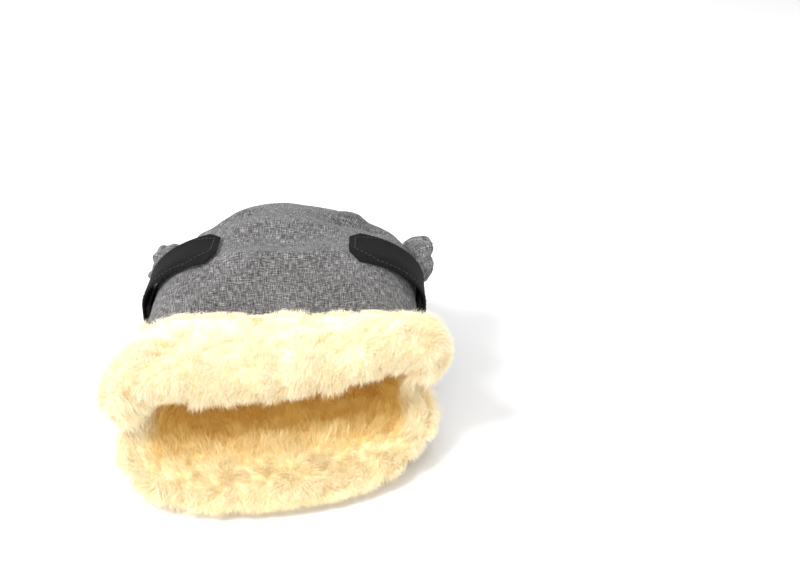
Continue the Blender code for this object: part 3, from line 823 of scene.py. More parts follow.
class Fleece:
    """A wool sheet: how long it is at each place, and how its locks lie on a board of squares."""

    def __init__(self, name, sheet, pile, board, reach, seed, inside, close, splay):
        self.name, self.sheet, self.close, self.splay = name, sheet, close, splay
        # inside gives the painted shade at a point: how deep in the pocket's shade it lies.
        self.pile, self.board, self.inside = pile, board, inside
        self.low, self.high = -reach, reach
        rng = np.random.default_rng(seed)
        self.rng = rng
        rows, columns = board
        self.jitter = rng.uniform(0.12, 0.88, (rows + 4, columns + 4, 2))
        self.lean = rng.normal(0, 0.55, (rows + 4, columns + 4, 2))
        self.rise = rng.uniform(0.78, 1.12, (rows + 4, columns + 4))
        self.shade = rng.uniform(0, 1, (rows + 4, columns + 4))

    def place(self, s, v, height):
        """A point at a height above the wool's root."""
        return self.sheet(s, v, WOOL_ROOT + height)

    def nearest_lock(self, s, v):
        """The nearest of the nine locks round a place, on a board with one jittered lock per square."""
        rows, columns = self.board
        a = (s - self.low) / (self.high - self.low) * columns
        b = v * rows
        best = np.full(s.shape, 1e9)
        found = [np.zeros(s.shape) for _ in range(6)]
        for dr in (-1, 0, 1):
            for dc in (-1, 0, 1):
                r = np.clip(np.floor(b).astype(int) + dr, -1, rows) + 1
                c = np.clip(np.floor(a).astype(int) + dc, -1, columns) + 1
                lock_a = c - 1 + self.jitter[r, c, 0]
                lock_b = r - 1 + self.jitter[r, c, 1]
                gap = np.hypot(a - lock_a, b - lock_b)
                closer = gap < best
                best = np.where(closer, gap, best)
                lean_s, lean_v = self.lean[r, c, 0], self.lean[r, c, 1]
                values = (lock_a, lock_b, lean_s, lean_v, self.rise[r, c], self.shade[r, c])
                found = [np.where(closer, new, old) for new, old in zip(values, found)]
        lock_s = self.low + found[0] / columns * (self.high - self.low)
        return best, lock_s, found[1] / rows, found[2], found[3], found[4], found[5]

    def underfur(self, rows, columns, share):
        """A closed, lumpy body: each lock swells in its middle and dips where it meets the next."""
        s, v = across_grid(rows, columns, self.low, self.high)
        gap, _, _, _, _, rise, shade = self.nearest_lock(s, v)
        swell = share * (0.86 + 0.20 * np.exp(-3.0 * gap**2)) * (0.70 + 0.30 * rise)
        top = self.place(s, v, self.pile(s, v) * swell * self.close(s, v))
        base = self.place(s, v, np.zeros_like(s))
        # Painted shade: the underfur runs deeper gold in the dips where locks meet, and deeper still with the
        # inside value deep in the pocket.
        along = np.clip(0.30 + 0.45 * np.exp(-3.5 * gap**2), 0, 1)
        inside = self.inside(top)
        values = {"along": np.concatenate([along.ravel(), np.full(along.size, 0.1)])}
        values["lock"] = np.concatenate([shade.ravel()] * 2)
        values["inside"] = np.concatenate([inside.ravel()] * 2)
        return layer(self.name + "_underfur", top, base, None, values, 180)

    def roots(self, count, density):
        """Random places, as many per square metre everywhere, times a density."""
        rows, columns = 70, 90
        s = np.linspace(self.low, self.high, columns + 1)
        v = np.linspace(0, 1, rows + 1)
        S, V = np.meshgrid(s, v)
        points = self.place(S, V, self.pile(S, V) * 0.5)
        across, along = np.diff(points, axis=1)[:-1], np.diff(points, axis=0)[:, :-1]
        area = np.linalg.norm(np.cross(across, along), axis=2)
        middle_s, middle_v = (S[:-1, :-1] + S[1:, 1:]) / 2, (V[:-1, :-1] + V[1:, 1:]) / 2
        weight = (area * density(middle_s, middle_v, points[:-1, :-1])).ravel()
        cell = self.rng.choice(weight.size, count, p=weight / weight.sum())
        r, c = np.divmod(cell, columns)
        s_at = s[c] + self.rng.random(count) * (s[1] - s[0])
        v_at = v[r] + self.rng.random(count) / rows
        per_s = np.linalg.norm(across, axis=2)[r, c] / (s[1] - s[0])
        per_v = np.linalg.norm(along, axis=2)[r, c] * rows
        return s_at, v_at, np.maximum(per_s, 0.02), np.maximum(per_v, 0.02)

    def hairs(self, count, width, density, lean):
        """Ribbons of three segments. Each hair starts under the underfur, leans with its lock, draws towards
        the lock's tip and waves a little on the way."""
        s, v, per_s, per_v = self.roots(count, density)
        _, lock_s, lock_v, lean_s, lean_v, rise, shade = self.nearest_lock(s, v)
        rng = self.rng
        length = self.pile(s, v) * rise * rng.uniform(0.72, 1.10, count)
        own = rng.normal(0, 0.55, (2, count))
        phase, turns = rng.uniform(0, 2 * math.pi, count), rng.uniform(0.6, 1.5, count)
        steps = np.array([0.0, 0.36, 0.72, 1.0])[:, None]
        gather = 0.30 * steps**1.3
        wave = HAIR_CURL * np.sin(2 * math.pi * turns * steps + phase) * steps
        side_s = (lean_s + own[0]) * lean * steps**1.4 + wave
        side_v = (lean_v + own[1]) * lean * steps**1.4 + 0.6 * wave
        s_t = s + (lock_s - s) * gather + side_s / per_s
        v_t = v + (lock_v - v) * gather + side_v / per_v
        height = length * (0.12 + 0.88 * steps * (1.12 - 0.12 * steps)) * mix(1.0, self.close(s, v), 0.30)
        margin = 0.06 * (self.high - self.low)
        s_t = np.clip(s_t, self.low - margin, self.high + margin)
        path = self.place(s_t, v_t, height)
        path += self.splay(s, v, path[0])[None] * (steps**1.4)[..., None]
        tangent = np.gradient(path, axis=0)
        tangent = unit(tangent)
        up = self.place(s, v, length) - self.place(s, v, np.zeros(count))
        up = unit(up)
        across = np.cross(tangent, up[None] + rng.normal(0, 0.35, (1, count, 3)))
        across = unit(across)
        facing = np.sum(np.cross(across, tangent) * up[None], axis=2)
        across *= np.where(np.sum(facing, axis=0) < 0, -1.0, 1.0)[None, :, None]
        taper = np.array([0.8, 1.0, 0.75])[:, None, None] * width / 2
        left, right = path[:3] - across[:3] * taper, path[:3] + across[:3] * taper
        points = np.concatenate([np.stack([left, right], axis=1).reshape(6, count, 3), path[3:]], axis=0)
        along = np.array([0.15, 0.15, 0.45, 0.45, 0.80, 0.80, 1.0])[:, None] * np.ones(count)
        # Painted shade: each hair keeps how deep in the pocket's shade its middle lies.
        inside = self.inside(path[2])[None] * np.ones((7, 1))
        jitter = np.clip(shade * 0.7 + rng.uniform(0, 0.3, count), 0, 1)[None] * np.ones((7, 1))
        made = []
        for number, start in enumerate(range(0, count, HAIRS_A_PIECE)):
            part = slice(start, min(count, start + HAIRS_A_PIECE))
            name = f"{self.name}_locks_{number + 1}"
            tones = {"along": along[:, part], "lock": jitter[:, part], "inside": inside[:, part]}
            made.append(self.ribbons(name, points[:, part], tones))
        return made

    def ribbons(self, name, points, tones):
        """Seven points a hair: two quads and a pointed triangle."""
        count = points.shape[1]
        first = np.arange(count)[:, None] * 7
        quads = np.concatenate([first + [0, 1, 3, 2], first + [2, 3, 5, 4]])
        tips = first + [4, 5, 6]
        flat = points.transpose(1, 0, 2).reshape(-1, 3)
        values = {key: tone.T.ravel() for key, tone in tones.items()}
        return add_mesh(name, flat, [quads, tips], None, values)


def grow(fleece, body, replaced, grid, share, count=0, density=None, width=0.0003, lean=0.0055):
    """A fleece's underfur in its finish, and as many hairs as are asked for."""
    dress(fleece.underfur(*grid, share), WOOL_BASE, body, (replaced,))
    locks = fleece.hairs(count, width, density, lean) if count else []
    for piece in locks:
        dress(piece, WOOL_LOCKS, body)
    print(fleece.name, "in", len(locks) + 1, "pieces")


print("wool maker ready")


# %% The cuff's wool
def rounded_end(s, start, end):
    """1 in the middle, then a quarter circle down towards the sheet's end."""
    t = np.clip((np.abs(s) - start) / (end - start), 0, 1)
    return np.sqrt(np.maximum(0.0, 1 - t * t))


def cuff_pile(s, v):
    """Long round the fold, shorter at the rear edge and at the two ends."""
    rear = mix(1.0, 0.36, ease((v - 0.52) / 0.48))
    under = mix(0.75, 1.0, ease(v / 0.15))
    uneven = 1 + 0.10 * soft_waves(s * 0.11, v * 0.10, 7, 72, 0.025, 0.060)
    return 0.0155 * rear * under * uneven * np.maximum(rounded_end(s, 0.86, 1.16), 0.55)


# The cuff lies outside, so its wool gets no painted shade.
def no_painted_shade(points):
    return np.zeros(points.shape[:-1])


def cuff_close(s, v):
    """The underfur rounds off at the two ends, at the rear edge and under the lip."""
    return rounded_end(s, 0.80, 1.135) * rounded_end(v, 0.80, 1.01) * rounded_end(1 - v, 0.90, 1.01)


def cuff_splay(s, v, root):
    """Hair hangs a little everywhere, falls back over the cloth at the rear and fans out at the ends."""
    rear, end = ease((v - 0.72) / 0.28), ease((np.abs(s) - 0.80) / 0.33)
    tuft = 0.5 + 0.5 * soft_waves(root[:, 0], root[:, 1], 6, 71, 0.012, 0.030)
    drop = -0.0015 - 0.001 * end - 0.0015 * rear
    return np.stack([np.sign(s) * 0.0004 * end, 0.0125 * rear * tuft, drop], axis=1)


cuff_fleece = Fleece(
    "wool_cuff", cuff_sheet, cuff_pile, (15, 40), 1.13, 31, no_painted_shade, cuff_close, cuff_splay
)
grow(cuff_fleece, "cuff", "cuff_wool_pile", (90, 220), 0.62, 115000, lambda s, v, p: 1.0 + 0.9 * (v > 0.8))


# %% The tongue's and the pocket's wool
def back_pile(s, v):
    """Long on the tongue, shorter deep in the pocket and at the rim."""
    along = np.clip((v - CROWN_SHARE) / (1 - CROWN_SHARE), 0, 1)
    uneven = 1 + 0.08 * soft_waves(s * 0.10, v * 0.25, 7, 73, 0.025, 0.060)
    length = mix(0.0135, 0.0195, ease(along)) * uneven
    return length * mix(1.0, 0.62, ease((along - 0.86) / 0.14)) * mix(1.0, 0.8, ease((np.abs(s) - 0.9) / 0.1))


def back_wool_sheet(s, v, depth):
    return back_sheet(s, v, depth, 0.0065)


def away_from_slits(points):
    """1 in the pocket's middle, 0 beside the slits, where daylight reaches the wool."""
    return 1 - ease((np.abs(points[..., 0]) - 0.076) / 0.012)


def mouth_painted_shade(points):
    """Painted shade: near 0 on the tongue's front and near 1 deep in the pocket, where only warm light
    bounced off the wool reaches.
    """
    return (0.12 + 0.86 * ease((points[..., 1] + 0.122) / 0.052)) * away_from_slits(points)


def back_close(s, v):
    return rounded_end(v, 0.90, 1.003) * rounded_end(s, 0.90, 1.003)


def back_splay(s, v, root):
    """Hair fans out over the tongue's rim, and out of the slits at the sides."""
    outward_x, outward_y = root[:, 0] / 0.11, (root[:, 1] + 0.050) / 0.10
    size = np.maximum(np.hypot(outward_x, outward_y), 1e-6)
    rim = ease((v - 0.86) / 0.14)
    side = ease((np.abs(s) - 0.82) / 0.18) * ease((CROWN_START - root[:, 1]) / 0.02)
    side *= ease((root[:, 1] + 0.085) / 0.03)
    x = 0.0080 * rim * outward_x / size + 0.0100 * np.sign(s) * side
    return np.stack([x, 0.0105 * rim * outward_y / size - 0.001, 0.0030 * side - 0.0075 * rim], axis=1)


back_fleece = Fleece(
    "wool_back", back_wool_sheet, back_pile, (44, 36), 1.0, 32, mouth_painted_shade, back_close, back_splay
)


def back_density(s, v, p):
    """Dense on the tongue, thin in the pocket, and denser again along the side slits."""
    tongue = 1.0 * (p[..., 1] < -0.045) + 0.8 * (v > 0.92)
    slit = 2.2 * (np.abs(s) > 0.88) * (p[..., 1] < CROWN_START)
    return np.maximum(np.maximum(tongue, slit), 0.10)


grow(back_fleece, "back", "back_wool_pile", (170, 160), 0.62, 116000, back_density, lean=0.0060)


# %% The front panel's and the crown's wool, inside
def front_pile(s, v):
    return 0.0128 * mix(1.0, 0.75, ease((np.abs(s) - 0.92) / 0.08)) * np.ones_like(v)


# Painted shade: the front panel's wool is painted deeper gold towards the back of the pocket, and not beside
# the slits.
def flap_painted_shade(points):
    return 0.8 * ease((points[..., 1] + 0.085) / 0.030) * away_from_slits(points)


def flap_sheet(s, v, depth):
    """The front panel alone: v is 0 at the fold, 1 where the crown begins."""
    return upper_point(s, mix(FOLD, CROWN_START - 0.0010, v), depth)


def crown_sheet(s, v, depth):
    return crown_point(s, QUARTER * v, depth, True)


def flap_close(s, v):
    return rounded_end(s, 0.92, 1.003)


def flap_splay(s, v, root):
    side = ease((np.abs(s) - 0.82) / 0.18)
    return np.stack([0.0100 * np.sign(s) * side, np.zeros_like(s), -0.003 * side], axis=1)


flap_fleece = Fleece(
    "wool_front", flap_sheet, front_pile, (18, 34), 1.0, 33, flap_painted_shade, flap_close, flap_splay
)


def flap_density(s, v, p):
    return np.maximum(1.0 * (v < 0.25), np.maximum(2.0 * (np.abs(s) > 0.88), 0.08))


grow(flap_fleece, "front_flap", "front_wool_pile", (80, 130), 0.9, 24000, flap_density, 0.00032)


# Painted shade: the crown's wool, deep in the pocket, is painted deeper gold all over.
def crown_painted_shade(points):
    return np.full(points.shape[:-1], 0.9)


crown_fleece = Fleece(
    "wool_crown", crown_sheet, front_pile, (18, 34), 1.0, 34, crown_painted_shade, flap_close, flap_splay
)
grow(crown_fleece, "back", "crown_wool_pile", (60, 110), 0.9)
print("front and crown wool ready")

# %% [markdown]
# ## Seams and turned edges
# The panels are sewn right sides together and turned, so the seam is a narrow rolled edge with the cloth
# pulled in beside it. The same roll finishes the open edges along the slits and the tongue.


# %% Rolled edges
def rolled_edge(name, path, radius, body):
    """A round roll of cloth along a path, with thread places taken from where it lies."""
    made = sweep(name, path, radius, 10)
    count = len(made.data.vertices)
    co = np.empty(count * 3, np.float32)
    made.data.vertices.foreach_get("co", co)
    co = co.reshape(-1, 3)
    corner = np.empty(len(made.data.loops), np.int32)
    made.data.loops.foreach_get("vertex_index", corner)
    layer_uv = made.data.uv_layers.new(name="UVMap")
    along = co[:, 1] + co[:, 0] * 0.5
    layer_uv.data.foreach_set("uv", np.stack([along, co[:, 2]], axis=1)[corner].astype(np.float32).ravel())
    return dress(made, CLOTH, body)


EDGE_DEPTH, SEAM_ROLL, SLIT_ROLL, HEM_ROLL = 0.0004, 0.0011, 0.0009, 0.0010


def edge_path(sheet, side, low, high, count):
    v = np.linspace(low, high, count)
    return sheet(np.full(count, side * 1.0), v, np.full(count, EDGE_DEPTH))


seam_place = np.linspace(-1, 1, 161)
for word, upper in (("upper", True), ("lower", False)):
    turn = QUARTER * (1 - np.abs(seam_place))
    path = crown_point(np.where(seam_place < 0, -1.0, 1.0), turn, np.full(161, 0.0002), upper)
    rolled_edge(f"crown_seam_{word}", path, SEAM_ROLL, "back")

for word, side in SIDES:
    slit = edge_path(back_sheet, side, CROWN_SHARE + 0.002, 0.995, 90)
    rolled_edge(f"slit_edge_back_{word}", slit, SLIT_ROLL, "back")
    slit = edge_path(front_sheet, side, 0.0, 1 - CROWN_SHARE - 0.01, 70)
    rolled_edge(f"slit_edge_front_{word}", slit, SLIT_ROLL, "front_flap")
across = np.linspace(-1, 1, 161)
hem = back_sheet(across, np.ones(161), np.full(161, 0.0011))
rolled_edge("tongue_hem", hem, HEM_ROLL, "back")
print("seams and hems ready")

# %% [markdown]
# ## Ears
# An ear is a short sleeve of the same cloth that grips the stroller handle. Elastic in its mouth gathers
# the cloth into pleats, and the cloth puffs up between the pleats and the muff. So the profile swells,
# narrows and turns in, and the pleats grow stronger towards the mouth.


# %% The gathered sleeves
def crown_side(y):
    turn = np.arcsin(np.clip((y - CROWN_START) / CROWN_LENGTH, 0, 1))
    return CROWN_HALF_WIDTH * np.cos(turn)


EAR_HEIGHT = float(seam_height(np.arcsin((EAR_CENTRE - CROWN_START) / CROWN_LENGTH)))
EAR_MOUTH = float(crown_side(EAR_CENTRE)) + EAR_REACH


def ear_surface(side, around, along, swell):
    """An oval tube: around is an angle, along 0 at the muff and 1 at the mouth, swell its extra radius."""
    y_root = EAR_CENTRE + (EAR_HALF_LENGTH + swell) * np.cos(around)
    shrink = mix(1.0, EAR_GATHER, np.clip(along, 0, 1))
    y = EAR_CENTRE + (EAR_HALF_LENGTH * shrink + swell) * np.cos(around)
    z = EAR_HEIGHT + EAR_TILT * along + (EAR_HALF_HEIGHT * shrink + swell) * np.sin(around)
    x = mix(crown_side(y_root) - 0.0015, EAR_MOUTH, along)
    return stack(side * x, y, z)


def pleats(around, seed, count):
    """Uneven pleats: the sine of the angle times their number, with the angle itself wandering."""
    rng = np.random.default_rng(seed)
    wander = sum(rng.uniform(0.15, 0.4) * np.sin(k * around + rng.uniform(0, 6.28)) for k in (1, 2, 3))
    return np.sin(count * around + 2.2 * wander)


def thick_grid(name, points, uv, thickness):
    """A tube of one grid, facing outwards and thickened inwards."""
    faces = [grid_faces(*points.shape[:2])]
    made = outward(add_mesh(name, points.reshape(-1, 3), faces, uv.reshape(-1, 2)))
    wall = made.modifiers.new("thickness", "SOLIDIFY")
    wall.thickness, wall.offset = thickness, -1.0
    return made


def gathered_sleeve(side, word, seed, length, lift):
    """Length stretches the sleeve past its solid, and lift moves its mouth up or down."""
    around, run = np.meshgrid(np.linspace(0, 2 * math.pi, 221), np.linspace(0, 1, 54))
    along = np.where(run < 0.72, run / 0.72, 1 - (run - 0.72) / 0.28 * 0.55)
    outside = run < 0.72
    neck = ease(along / 0.62)
    fan = 0.0010 + 0.0066 * neck * (1 + 0.16 * np.sin(2 * around + seed) + 0.10 * np.sin(3 * around - seed))
    rim = 0.0058 * (1 - np.sqrt(np.clip(1 - ((along - 0.62) / 0.38).clip(0, 1) ** 2, 0, 1)))
    deep = 0.0016 * ease(along / 0.35)
    swell = np.where(outside, fan - rim, 0.0006)
    swell = swell + deep * pleats(around, seed, 9) * np.where(outside, 1.0, 0.45)
    swell = swell + 0.0007 * soft_waves(around * 0.02, along * 0.03, 8, seed, 0.008, 0.02) * outside
    points = ear_surface(side, around, along * length, swell)
    points[..., 2] += lift * ease(along / 0.8)
    points[..., 0] += side * 0.0014 * ease((along - 0.7) / 0.3) * pleats(around, seed + 3, 5) * outside
    points[:, -1] = points[:, 0]
    uv = np.stack([around * 0.015, run * 0.040], axis=-1)
    made = thick_grid(f"ear_{word}_gathered_sleeve", points, uv, 0.0006)
    return dress(made, CLOTH, "back", ("ear_sleeve_" + word,))


def ribbed_elastic(side, word, lift):
    """A flat ring inside the mouth, with fine ribs along it."""
    around, run = np.meshgrid(np.linspace(0, 2 * math.pi, 161), np.linspace(0, 1, 25))
    ribs = 0.00018 * np.cos(run * 2 * math.pi * 6)
    points = ear_surface(side, around, mix(0.62, 0.90, run), ribs - 0.0004)
    points[..., 2] += lift
    points[:, -1] = points[:, 0]
    uv = np.stack([around, run], axis=-1)
    made = thick_grid(f"ear_{word}_elastic", points, uv, 0.0008)
    return dress(made, RUBBER_BAND, "back", ("ear_elastic_" + word,))


for word, side, seed, length, lift, band_lift in (
    ("left", -1, 21, 0.98, -0.0030, -0.0026),
    ("right", 1, 27, 1.10, 0.0022, 0.0018),
):
    gathered_sleeve(side, word, seed, length, lift)
    ribbed_elastic(side, word, band_lift)
print("ears ready")

# %% [markdown]
# ## Tabs and straps
# A tab is webbing sewn to the front panel that presses onto a strap on the back panel. Webbing is thin and
# flat with a rounded edge, so it is a sheet whose thickness runs out at its rim. A row of stitches runs
# round it: each stitch is a short rounded bar of few faces.

# %% Sizes of the fastening
STRAP, TAPE_SIZE, CLEAR = 0.0016, 0.0010, 0.0003
TAB_LEVEL = 0.0005 + STRAP + 2 * (CLEAR + TAPE_SIZE) + CLEAR
TAB_BOTTOM, BACK_STRAP_BOTTOM = 0.042, 0.034
TAB_ROOT_ANGLE, TAB_KNEE_SHARE = math.radians(72), 0.7
TAB_KNEE = float(side_height(STRAP_CENTRE) + slit_half(STRAP_CENTRE))


def tab_sheet(side, w, across, lift):
    """A tab: w runs 0 at its sewn end to 1 at its free end, across -1 to 1 over its width. It follows a
    quarter of an ellipse over the dome, then hangs straight."""
    y = STRAP_CENTRE + across * STRAP_WIDTH / 2
    side_x = half_width(y) + TAB_LEVEL
    reach_x, reach_z = side_x - DOME_FLAT, top_height(y) + 0.0012 - TAB_KNEE
    angle = TAB_ROOT_ANGLE * (1 - np.clip(w / TAB_KNEE_SHARE, 0, 1))
    hang = np.clip((w - TAB_KNEE_SHARE) / (1 - TAB_KNEE_SHARE), 0, 1)
    bow = 0.0012 * np.sin(np.clip(w / TAB_KNEE_SHARE, 0, 1) * math.pi)
    x = DOME_FLAT + (reach_x + lift + bow) * np.cos(angle)
    z = TAB_KNEE + (reach_z + lift + bow) * np.sin(angle) - (TAB_KNEE - TAB_BOTTOM) * hang
    return slump(stack(side * x, y, z))


def strap_sheet(side, w, across, lift):
    """A back strap: upright on the side of the muff."""
    y = STRAP_CENTRE + across * (STRAP_WIDTH / 2 - 0.001)
    z = mix(TAB_KNEE + 0.003, BACK_STRAP_BOTTOM, w)
    return stack(side * (half_width(y) + 0.0005 + lift), y, z)


def webbing_piece(name, sheet, side, length, chamfer):
    """Webbing with rounded rims: the half thickness is a flat top with a quarter circle at each rim."""
    rows, columns = 90, 44
    w, a = np.meshgrid(np.linspace(0, 1, rows), np.linspace(-1, 1, columns), indexing="ij")
    corner = np.clip((np.abs(a) - 1 + chamfer) / chamfer, 0, 1) if chamfer else 0.0
    w_shifted = w + (1 - w) ** 3 * corner * 0.055
    rim = np.minimum((1 - np.abs(a)) * STRAP_WIDTH / 2, np.minimum(w, 1 - w) * length) / 0.0009
    rounded = np.sqrt(np.clip(1 - (1 - np.clip(rim, 0, 1)) ** 2, 0, 1))
    border = 0.00025 * bump((np.abs(a) - 0.93) * STRAP_WIDTH / 2, 0.0010)
    half = STRAP / 2 * rounded
    outer = sheet(side, w_shifted, a, STRAP / 2 + half + border)
    inner = sheet(side, w_shifted, a, STRAP / 2 - half)
    uv = np.stack([a * STRAP_WIDTH / 2, w * length], axis=-1)
    return layer(name, outer, inner, uv, None, 60)


STITCH_SIDES, STITCH_RINGS = 6, 4
STITCH_PITCH, STITCH_LENGTH, STITCH_THICK = 0.0032, 0.0021, 0.00036


def stitches(name, path, normal, body):
    """Rounded bars laid end to end along a path; each is a half-sunk capsule of a few dozen faces."""
    step = np.linalg.norm(np.diff(path, axis=0), axis=1)
    run = np.concatenate([[0.0], np.cumsum(step)])
    count = max(2, int(run[-1] / STITCH_PITCH))
    at = (np.arange(count) + 0.5) * run[-1] / count
    centre = np.stack([np.interp(at, run, path[:, i]) for i in range(3)], axis=1)
    ahead = np.stack([np.interp(at + 0.0005, run, path[:, i]) for i in range(3)], axis=1)
    behind = np.stack([np.interp(at - 0.0005, run, path[:, i]) for i in range(3)], axis=1)
    up = np.stack([np.interp(at, run, normal[:, i]) for i in range(3)], axis=1)
    tangent = ahead - behind
    tangent = unit(tangent)
    side = np.cross(tangent, up)
    side = unit(side)
    up = np.cross(side, tangent)
    turn = np.linspace(0, 2 * math.pi, STITCH_SIDES, endpoint=False)
    place = np.array([-1.0, -0.62, 0.62, 1.0])
    girth = np.array([0.25, 1.0, 1.0, 0.25])
    bar = (
        centre[:, None, None]
        + tangent[:, None, None] * (place * STITCH_LENGTH / 2)[None, :, None, None]
        + side[:, None, None] * (girth[:, None] * np.cos(turn) * STITCH_THICK)[None, ..., None]
        + up[:, None, None] * (girth[:, None] * np.sin(turn) * STITCH_THICK * 0.8)[None, ..., None]
    )
    per = STITCH_RINGS * STITCH_SIDES
    r, c = np.meshgrid(np.arange(STITCH_RINGS - 1), np.arange(STITCH_SIDES), indexing="ij")
    a, b = (r * STITCH_SIDES + c).ravel(), (r * STITCH_SIDES + (c + 1) % STITCH_SIDES).ravel()
    quads = np.stack([a, b, b + STITCH_SIDES, a + STITCH_SIDES], axis=1)
    caps = np.stack([np.arange(STITCH_SIDES)[::-1], per - STITCH_SIDES + np.arange(STITCH_SIDES)])
    base = np.arange(count)[:, None, None] * per
    faces = [(quads[None] + base).reshape(-1, 4), (caps[None] + base).reshape(-1, STITCH_SIDES)]
    made = outward(add_mesh(name, bar.reshape(-1, 3), faces))
    return dress(made, DARK_THREAD, body)


def border_run(sheet, side, length, inset, lift):
    """A path round a strap, inset from its rim, with the outward direction at each point."""
    a_in = 1 - inset / (STRAP_WIDTH / 2)
    w_in = inset / length
    half_run = [(1 - w_in, a_in), (0.16, a_in), (w_in, a_in * 0.62)]
    corners = [(w_at, -a_at) for w_at, a_at in half_run] + half_run[::-1]
    w = np.concatenate([np.linspace(p[0], q[0], 40) for p, q in zip(corners, corners[1:])])
    a = np.concatenate([np.linspace(p[1], q[1], 40) for p, q in zip(corners, corners[1:])])
    points = sheet(side, w, a, np.full_like(w, lift))
    return points, points - sheet(side, w, a, np.zeros_like(w))


# %% Tabs and back straps
TAB_LENGTH, BACK_STRAP_LENGTH = 0.098, 0.042
for word, side in SIDES:
    tab = webbing_piece("tab_" + word, tab_sheet, side, TAB_LENGTH, 0.34)
    dress(tab, WEBBING, "tab_" + word, ("front_tab_" + word,))
    path, up = border_run(tab_sheet, side, TAB_LENGTH, 0.0030, STRAP + 0.0002)
    stitches(f"tab_{word}_stitches", path, up, "tab_" + word)
    strap = webbing_piece("back_strap_" + word + "_webbing", strap_sheet, side, BACK_STRAP_LENGTH, 0.0)
    dress(strap, WEBBING, "back", ("back_strap_" + word,))
    for node, body in (("hook_tape_", "tab_" + word), ("loop_tape_", "back")):
        tape = frame["nodes"][node + word]
        tape.data.materials.clear()
        tape.data.materials.append(TAPE)
print("fastening ready")

# %% [markdown]
# ## The patch
# A small red woven patch is sewn on the front panel, under the cuff's edge. It carries a plain raised
# diamond and a rounded rim, and no mark of any maker.


# %% The patch
PATCH_X, PATCH_Y, PATCH_HALF = 0.046, -0.059, 0.016


def across_at(x, y):
    """The place across the front panel above a point of the plan, read off a fine table."""
    table = np.linspace(0, 1, 400)
    return np.interp(x, upper_section(table, np.full(400, y), -0.001)[0], table)


def patch_sheet(u, v, lift):
    x, y = PATCH_X + PATCH_HALF * u, PATCH_Y + PATCH_HALF * v
    return upper_point(np.vectorize(across_at)(x, y), y, -lift)


u, v = np.meshgrid(np.linspace(-1, 1, 45), np.linspace(-1, 1, 45))
patch_rim = np.clip((1 - np.maximum(np.abs(u), np.abs(v))) / 0.06, 0, 1)
diamond = ease((0.62 - np.abs(u) - np.abs(v)) / 0.06) - ease((0.50 - np.abs(u) - np.abs(v)) / 0.06)
corner = np.hypot(np.maximum(np.abs(u) - 0.8, 0), np.maximum(np.abs(v) - 0.8, 0))
pull = np.where(corner > 0.2, 0.2 / np.maximum(corner, 1e-9), 1.0)
u_round = np.sign(u) * np.where(np.abs(u) > 0.8, 0.8 + (np.abs(u) - 0.8) * pull, np.abs(u))
v_round = np.sign(v) * np.where(np.abs(v) > 0.8, 0.8 + (np.abs(v) - 0.8) * pull, np.abs(v))
top = patch_sheet(u_round, v_round, 0.0014 + 0.0004 * np.sqrt(patch_rim) + 0.00025 * diamond)
under = patch_sheet(u_round, v_round, np.full_like(u, 0.0013))
patch = layer("red_patch", top, under, np.stack([u * PATCH_HALF, v * PATCH_HALF], axis=-1), None, 60)
dress(patch, PATCH, "front_flap", ("label_patch",))
print("patch ready")

# %% [markdown]
# ## Cloth that crosses the hinge
# The front panel lifts about a line across the dome. The front cloth and its hide are one run over that
# line. Here their placement is only applied to their points; they are given to no body.

# %% Apply the placement of the front cloth and hide
for piece in (front_cloth, front_hide):
    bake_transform(piece)

# %% [markdown]
# ## The flat cuts of the soft pieces
# Each panel was cut flat before it was sewn. Its cut is as wide as its widest line across and as long as its
# longest line along, and the area is what its curved outline leaves of that. These sizes are only printed.


# %% Flat cuts of the sheets
def flat_cut(sheet):
    """Widest line across, longest line along, and the area of the plain surface."""
    s, v = across_grid(120, 120)
    points = sheet(s, v, np.zeros_like(s))
    across = np.linalg.norm(np.diff(points, axis=1), axis=2).sum(axis=1).max()
    along = np.linalg.norm(np.diff(points, axis=0), axis=2).sum(axis=0).max()
    patches = np.cross(np.diff(points, axis=1)[:-1], np.diff(points, axis=0)[:, :-1])
    area = np.linalg.norm(patches, axis=2).sum()
    print("cut in mm:", round(1000 * across), "x", round(1000 * along))
    print("area in square cm:", round(10000 * area))
    return (float(across), float(along)), float(min(area, across * along))


for pieces, sheet, held, rests in (
    ((front_cloth, front_hide), front_sheet, "stretched", "crown_wool_pile"),
    ((back_cloth, back_hide), back_sheet, "laid", "back_wool_pile"),
    ((cuff_cloth, cuff_hide), cuff_sheet, "folded", "front_shell_panel"),
):
    flat, area = flat_cut(sheet)
    for piece in pieces:
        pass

# %% [markdown]
# ## Stage, light and camera
# The muff lies on a plain pale floor under large soft lights, seen from in front and a little above.


# %% Floor and lights
def floor_plane():
    size, drop = 1.5, -0.0003
    points = np.array([(-size, -size, drop), (size, -size, drop), (size, size, drop), (-size, size, drop)])
    made = add_mesh("floor", points, [np.array([[0, 1, 2, 3]])], lie=False)
    surface, n, shader = new_material("pale_floor", 0.6, specular=0.2)
    pale = n.ramp(n.noise(own_surface(n), 3.0), [(0.0, (0.90, 0.90, 0.90)), (1.0, (0.93, 0.93, 0.93))])
    n.set(shader.inputs["Base Color"], pale)
    made.data.materials.append(surface)
    return made


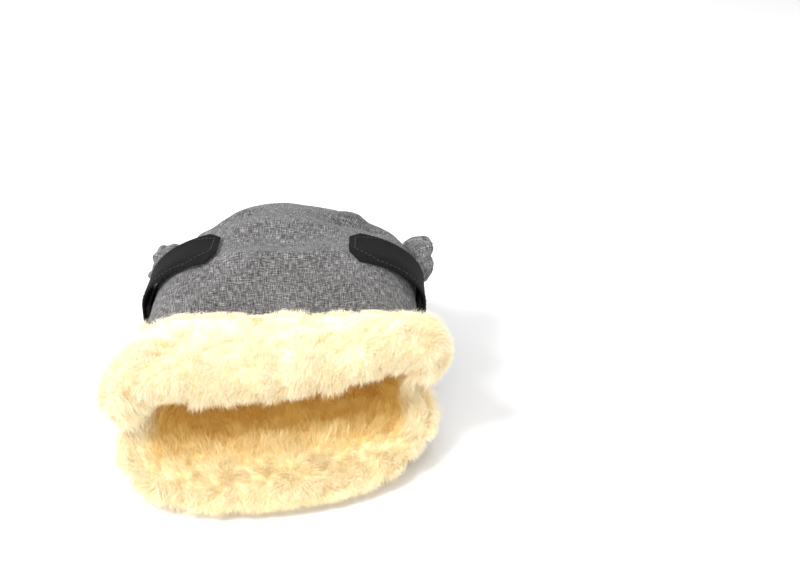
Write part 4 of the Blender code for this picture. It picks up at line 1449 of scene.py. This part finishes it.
def soft_light(name, place, size, watts, colour):
    lamp = bpy.data.lights.new(name, "AREA")
    lamp.energy, lamp.size, lamp.color = watts, size, colour
    made = bpy.data.objects.new(name, lamp)
    made.location = place
    made.rotation_mode = "QUATERNION"
    made.rotation_quaternion = (Vector((0, 0, 0.05)) - Vector(place)).to_track_quat("-Z", "Y")
    bpy.context.scene.collection.objects.link(made)
    return made


floor_plane()
soft_light("key_light", (-1.1, -0.5, 1.3), 0.7, 30.0, (1.0, 0.985, 0.96))
soft_light("fill_light", (0.6, -1.6, 0.8), 1.4, 12.0, (1.0, 0.99, 0.97))
soft_light("top_light", (0.3, 0.9, 1.6), 1.2, 12.0, (1.0, 1.0, 1.0))

# %% The white surroundings: full white to the eye, and a little less as light
SKY_LIGHT, SKY_SEEN_MORE = 0.66, 0.34
world = bpy.data.worlds.new("pale_studio")
bpy.context.scene.world = world
world.use_nodes = True
background = world.node_tree.nodes["Background"]
background.inputs["Color"].default_value = (1.0, 1.0, 1.0, 1.0)
sky = Nodes(world.node_tree)
seen = sky.add("ShaderNodeLightPath").outputs["Is Camera Ray"]
sky.set(background.inputs["Strength"], sky.math("MULTIPLY_ADD", seen, SKY_SEEN_MORE, SKY_LIGHT))
bpy.context.scene.view_settings.view_transform = "Standard"

# %% Camera
AZIMUTH, ELEVATION, DISTANCE = math.radians(5.0), math.radians(31.0), 0.85
AIM_RIGHT, AIM_UP = 0.086, 0.075
SENSOR, LENS = 36.0, 51.5
level = Vector((math.sin(AZIMUTH), -math.cos(AZIMUTH), 0.0))
back = level * math.cos(ELEVATION) + Vector((0.0, 0.0, math.sin(ELEVATION)))
right = Vector((math.cos(AZIMUTH), math.sin(AZIMUTH), 0.0))
aim = right * AIM_RIGHT + back.cross(right) * AIM_UP
camera = bpy.data.objects.new("camera", bpy.data.cameras.new("camera"))
camera.data.sensor_width, camera.data.lens = SENSOR, LENS
camera.location = back * DISTANCE
camera.rotation_mode = "QUATERNION"
camera.rotation_quaternion = (aim - camera.location).to_track_quat("-Z", "Y")
bpy.context.scene.collection.objects.link(camera)
bpy.context.scene.camera = camera
